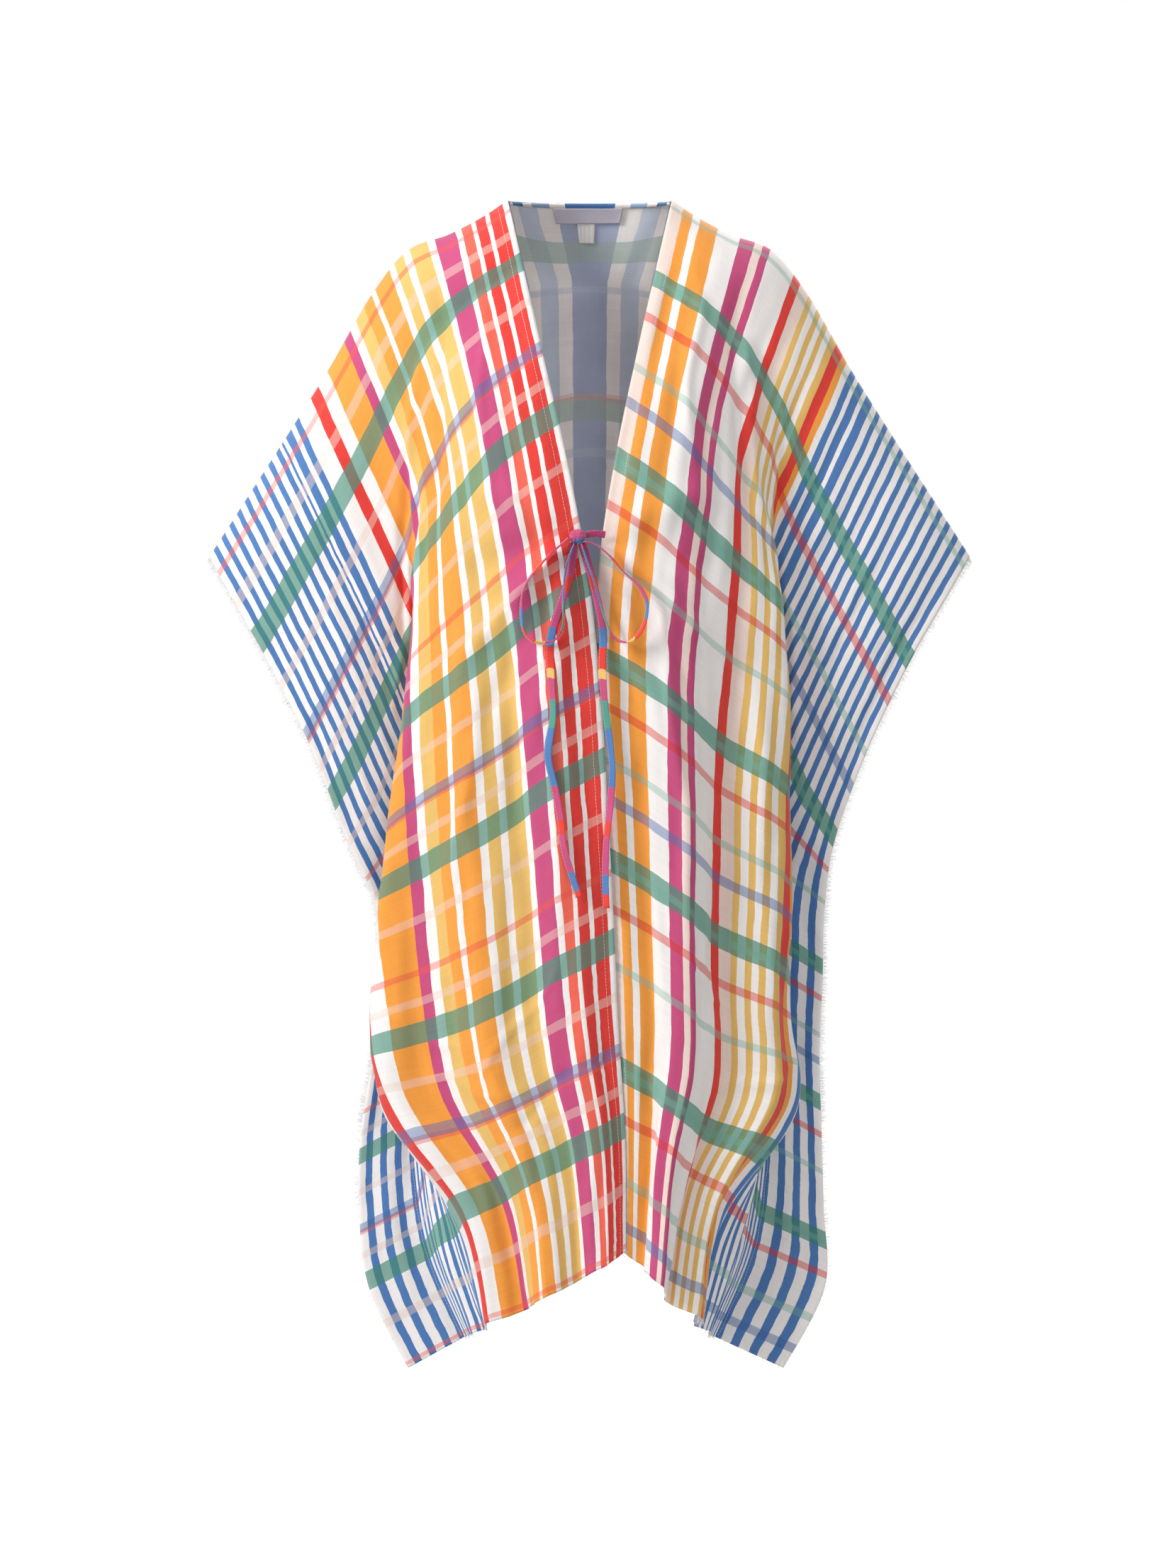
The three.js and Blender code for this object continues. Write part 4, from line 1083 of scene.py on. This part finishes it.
def fray_lines(rim, inner, normals, spacing):
    """Yarn ends along a rim, given the next line of points further in."""
    line, out = resample(rim, normals, spacing)
    within, _ = resample(inner, normals, spacing * steps(inner).sum() / steps(rim).sum())
    count = min(len(line), len(within))
    line, within, out = line[:count], within[:count], out[:count]
    along = unit(np.gradient(line, axis=0))
    away = line - within
    away = unit(away - along * (away * along).sum(1, keepdims=True))
    made = []
    for place, side, forward, normal in zip(line, along, away, out):
        length = chance.uniform(FRAY["shortest"], FRAY["longest"])
        lean, curl = chance.normal(0, 0.28), chance.normal(0, 0.22)
        start = place - forward * 0.8 + side * chance.uniform(-0.4, 0.4)
        shares = np.linspace(0, 1, FRAY["points"])
        made.append([start + forward * length * s + side * length * lean * s * s
                     + normal * length * curl * s * s for s in shares])
    return made


def hem_fray(panel, columns):
    points, normals = surface(panel, columns, ROWS[-3:])
    return fray_lines(points[-1], points[-2], normals[-1], FRAY["spacing"])


def side_fray(panel, c, rows):
    columns = c - np.sign(c) * np.array([0.08, 0.04, 0.0])
    order = np.argsort(columns)
    points, normals = surface(panel, columns[order], rows)
    rim = int(np.argmax(np.abs(columns[order])))
    return fray_lines(points[:, rim], points[:, 1], normals[:, rim], FRAY["spacing"])


def yarn_piece(node, lines):
    return threads(node + "_yarns", lines, FRAY["radius"], YARN, [node], "frayed_yarn", FRAY["taper"])


frays = []
for side, mirror in (("right", -1), ("left", 1)):
    front = f"front_{side}"
    made = {
        f"fray_hem_front_{side}": hem_fray(front, FRONT_COLUMNS),
        f"fray_side_front_{side}": side_fray(front, 2.0, ROWS[2:]),
        f"fray_side_back_{side}": side_fray("back", 3.0 * mirror, ROWS[2:]),
    }
    for node, lines in made.items():
        frays.append(yarn_piece(node, lines))
frays.append(yarn_piece("fray_hem_back", hem_fray("back", BACK_COLUMNS)))
print("frayed edges:", len(frays), "triangles:", sum(len(o.data.polygons) * 2 for o in frays))

# %% [markdown]
# The bow. Each tie is a strip of the same cloth folded to eight millimetres and stitched along one side.
# Its middle follows the listed stops, and at each stop it is turned edge-on or face-on. A swept flat
# tube holds that twist better than a bevelled curve does. The knot is a small ball of wraps.

# %% Bow stops
TIE_WIDTH = 8
TIE_THICK = 1.6
TAIL_LIFT = 1.4  # least gap from a tail's middle, or from an edge-on strip, to the cloth
LOOP_LIFT = 7.6
WALL = 1.5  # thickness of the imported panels, which are thicker than the cloth shown here
KNOT = {"x": -12, "z": -340, "half_width": 8, "half_depth": 6.5, "half_height": 7.5}
KNOT_DIP = 0.9  # the knot lies this far in the fold behind it
SEAM_GAP = 0.3
# Stops are (x, z, turn): turn 0 shows a strip's edge and 90 its face.
BOW = {
    "bow_loop_right": [(-20.6, -342, 0), (-30, -350, 0), (-42, -361, 6), (-63, -388, 10), (-67, -411, 12),
                       (-63, -436, 15), (-50, -444, 15), (-35, -442, 10), (-27, -431, 5), (-26, -400, 0),
                       (-23, -370, 0), (-15.5, -347.2, 0)],
    "bow_loop_left": [(-5.7, -345.5, 0), (6, -348.5, 0), (18, -358, 0), (31, -373, 10), (50, -392, 20),
                      (56, -408, 25), (50, -432, 20), (38, -443, 15), (25, -440, 10), (15, -421, 5),
                      (4, -384, 0), (-8.5, -347.5, 0)],
    "tie_tail_right": [(-16, -346.4, 90), (-19, -375, 90), (-28, -405, 90), (-36, -430, 90),
                       (-39, -447, 90), (-38, -477, 65), (-36, -515, 55), (-41, -554, 60), (-35, -582, 65),
                       (-29, -614, 55), (-25, -646, 60), (-17, -673, 50), (-10.5, -692, 55)],
    "tie_tail_left": [(-7.5, -346.4, 90), (2, -380, 90), (10, -415, 90), (13, -438, 90), (12, -461, 80),
                      (13, -486, 60), (16, -515, 60), (20, -545, 50), (22, -568, 55), (20, -601, 60),
                      (16, -638, 50), (15, -668, 55), (16, -703, 60)],
    "tie_strap_left": [(-3.6, -338.5, 50), (5, -337.5, 50), (15, -338.5, 60)],
}
COARSE_ROWS = np.r_[0, 0.0095, 0.025, 0.05, 0.075, np.linspace(ROLL_END, 1, 19)]
COARSE_COLUMNS = np.r_[0, np.linspace(FRONT_HEM / TO_SEAM, 1, 27), 4 / 3, 5 / 3, 2]
coarse = np.vstack([surface(f"front_{side}", COARSE_COLUMNS, COARSE_ROWS, fine=False)[0].reshape(-1, 3)
                    for side in ("right", "left")])


def front_surface(x, z, near=24):
    """The furthest forward that either front comes near (x, z)."""
    reach_down = near + CLOTH_LENGTH / 36
    is_near = (np.abs(coarse[:, 0] - x) < near) & (np.abs(coarse[:, 2] - z) < reach_down)
    return coarse[is_near, 1].min() - WALL / 2


def ribbon(name, stops, lift):
    """A flat folded strip through the stops, returned with its centre line and length."""
    centres = []
    for x, z, turn in stops:
        reach = TIE_WIDTH / 2 * math.cos(math.radians(turn))
        centres.append((x, front_surface(x, z) - max(lift, reach + TAIL_LIFT), z))
    count = (len(stops) - 1) * 10
    shares = np.linspace(0, 1, count + 1)
    middle = catmull_rom(centres, shares)
    turns = np.radians(np.interp(shares, np.linspace(0, 1, len(stops)), [s[2] for s in stops]))
    turns = turns + 0.12 * np.sin(shares * 37)
    along = unit(np.gradient(middle, axis=0))
    forward = unit(np.array([0.0, 1.0, 0.0]) - along * along[:, 1:2])
    sideways = np.cross(forward, along)
    wide = forward * np.cos(turns)[:, None] + sideways * np.sin(turns)[:, None]
    thin = np.cross(wide, along)
    angles = np.linspace(0, 2 * math.pi, 17)
    # A rounded flat section, with a slight swell where the seam allowance lies inside.
    half_wide = np.sign(np.cos(angles)) * np.abs(np.cos(angles)) ** 0.7 * TIE_WIDTH / 2
    half_thin = np.sign(np.sin(angles)) * np.abs(np.sin(angles)) ** 0.5 * TIE_THICK / 2
    half_thin = half_thin * (1 - 0.35 * np.cos(angles / 2) ** 4)
    crumple = 1 + 0.05 * np.sin(shares * len(stops) * 7 + 1) * np.sin(shares * 61)
    rows = (middle[:, None] + wide[:, None] * (half_wide[None, :, None] * crumple[:, None, None])
            + thin[:, None] * half_thin[None, :, None])
    length = travelled(middle)
    grain = grain_grid(angles * TIE_WIDTH / math.pi * MM, length * MM)
    mesh = grid_mesh(name + "_ribbon", rows, grain, unit(rows - middle[:, None]), True)
    piece = place_piece(name + "_ribbon", mesh, [TIE], [name])
    return piece, middle * MM, length[-1] * MM, (middle, wide, thin)

# %% [markdown]
# The five strips. All come from the one function above, and a row of fine stitches follows one side of
# each tie. Shaping each by hand would give more crumple, but they would no longer follow the cloth.

# %% Ties, loops and strap
ribbons = {name: ribbon(name, stops, LOOP_LIFT if "loop" in name else TAIL_LIFT)
           for name, stops in BOW.items()}
print({name: round(float(made[2]), 3) for name, made in ribbons.items()})

tie_stitches = []
for name in ("bow_loop_right", "bow_loop_left", "tie_tail_right", "tie_tail_left"):
    middle, wide, thin = ribbons[name][3]
    for face in (1, -1):
        line = middle + wide * (TIE_WIDTH / 2 - 1.3) + thin * face * TIE_THICK * 0.42
        tie_stitches += stitch_lines(line, thin * face, 0.05)
tie_thread = threads("tie_stitches", tie_stitches, 0.1, THREAD, slot="frayed_yarn")

# %% [markdown]
# The knot. Wraps of cloth leave creases that run round it, so a fine ball is pushed in and out by waves
# along those lines. Winding a real strip would be truer, but at this size only the creases show.

# %% Knot
WRAP_DEPTH, FOLD_DEPTH, WAIST_DEPTH = 0.055, 0.05, 0.1  # shares of the ball's radius


def knot_piece():
    """Wraps of the tie over a small core: a ball whose surface is creased along the way of the wraps."""
    centre_y = front_surface(KNOT["x"], KNOT["z"]) + KNOT_DIP - SEAM_GAP - KNOT["half_depth"]
    centre = np.array([KNOT["x"], centre_y, KNOT["z"]])
    bm = bmesh.new()
    bmesh.ops.create_icosphere(bm, subdivisions=5, radius=1)
    layer = bm.loops.layers.uv.new("grain")
    for vertex in bm.verts:
        x, y, z = vertex.co
        wraps = WRAP_DEPTH * math.sin(9 * z + 3.2 * x + 1.5 * math.sin(4 * x)) ** 3
        folds = FOLD_DEPTH * math.sin(15 * x - 5 * z + 2 * y)
        waist = 1 - WAIST_DEPTH * math.exp(-(x + 0.15) ** 2 / 0.06)
        swell = (0.97 + wraps + folds * abs(z)) * waist
        vertex.co = ((centre[0] + x * swell * KNOT["half_width"]) * MM,
                     (centre[1] + y * min(swell, 1) * KNOT["half_depth"]) * MM,
                     (centre[2] + z * swell * KNOT["half_height"]) * MM)
    for face in bm.faces:
        for loop in face.loops:
            loop[layer].uv = (loop.vert.co.x, loop.vert.co.z * 0.35 + 0.12)
    mesh = bpy.data.meshes.new("bow_knot_wraps")
    bm.to_mesh(mesh)
    bm.free()
    return place_piece("bow_knot_wraps", mesh, [TIE], ["bow_knot"])


knot = knot_piece()
print("knot faces:", len(knot.data.polygons))

# %% [markdown]

# %% [markdown]
# The studio. A wide pale floor lies well below the hem, and the background is plain white to the camera,
# so the garment can be turned and seen from every side. A curved paper wall is the usual choice, but it
# would hide the back. Large soft lights come from the left, the front and above, and one from behind
# makes the thin cloth glow. The world gives little light itself, so that folds keep their shade.

# %% Floor and lights
FLOOR_Z = -1.42
FLOOR_HALF = 9.0
LIGHT_LEVEL = 0.9
WORLD_LIGHT = 0.36 * LIGHT_LEVEL


def studio_floor():
    bm = bmesh.new()
    bmesh.ops.create_grid(bm, x_segments=8, y_segments=8, size=FLOOR_HALF)
    for vertex in bm.verts:
        vertex.co.z = FLOOR_Z
    mesh = bpy.data.meshes.new("studio_floor")
    bm.to_mesh(mesh)
    bm.free()
    floor = bpy.data.objects.new("studio_floor", mesh)
    scene.collection.objects.link(floor)
    material, nodes, shader = principled("studio_paper", 0.9, specular=0.1)
    place = nodes.add("ShaderNodeTexCoord").outputs["Object"]
    shade = nodes.maths("MULTIPLY_ADD", nodes.noise(place, 3.0, 2.0), 0.01, 0.985)
    tint(nodes, shader, linear(PALETTE["paper"]), shade)
    # The camera sees the paper as white, but the garment gets only the light that grey paper throws back.
    shader.inputs["Emission Color"].default_value = (1, 1, 1, 1)
    seen = nodes.add("ShaderNodeLightPath").outputs["Is Camera Ray"]
    nodes.link(nodes.maths("MULTIPLY", seen, 1.1), shader.inputs["Emission Strength"])
    mesh.materials.append(material)


def area_light(name, place, target, size, power):
    data = bpy.data.lights.new(name, "AREA")
    data.shape = "RECTANGLE"
    data.size, data.size_y = size
    data.energy = power * LIGHT_LEVEL
    lamp = bpy.data.objects.new(name, data)
    lamp.location = place
    direction = Vector(target) - lamp.location
    lamp.rotation_euler = direction.to_track_quat("-Z", "Y").to_euler()
    scene.collection.objects.link(lamp)


studio_floor()
area_light("key_light", (-3.0, -2.0, 1.3), (0, 0, -0.5), (1.6, 1.8), 150)
area_light("fill_light", (1.2, -4.6, -0.1), (0, 0, -0.5), (1.6, 1.6), 30)
area_light("top_light", (0.3, -0.9, 2.2), (0, 0, -0.4), (1.8, 1.2), 32)
area_light("back_light", (1.6, 3.4, 1.3), (0, 0, -0.5), (2.0, 2.0), 120)
world = bpy.data.worlds.new("world")
world.use_nodes = True
sky = Nodes(world.node_tree)
background = next(n for n in world.node_tree.nodes if n.type == "BACKGROUND")
seen = sky.add("ShaderNodeLightPath").outputs["Is Camera Ray"]
background.inputs["Color"].default_value = (1, 1, 1, 1)
sky.link(sky.maths("MULTIPLY_ADD", seen, 1 - WORLD_LIGHT, WORLD_LIGHT), background.inputs["Strength"])
scene.world = world
scene.view_settings.view_transform = "Standard"
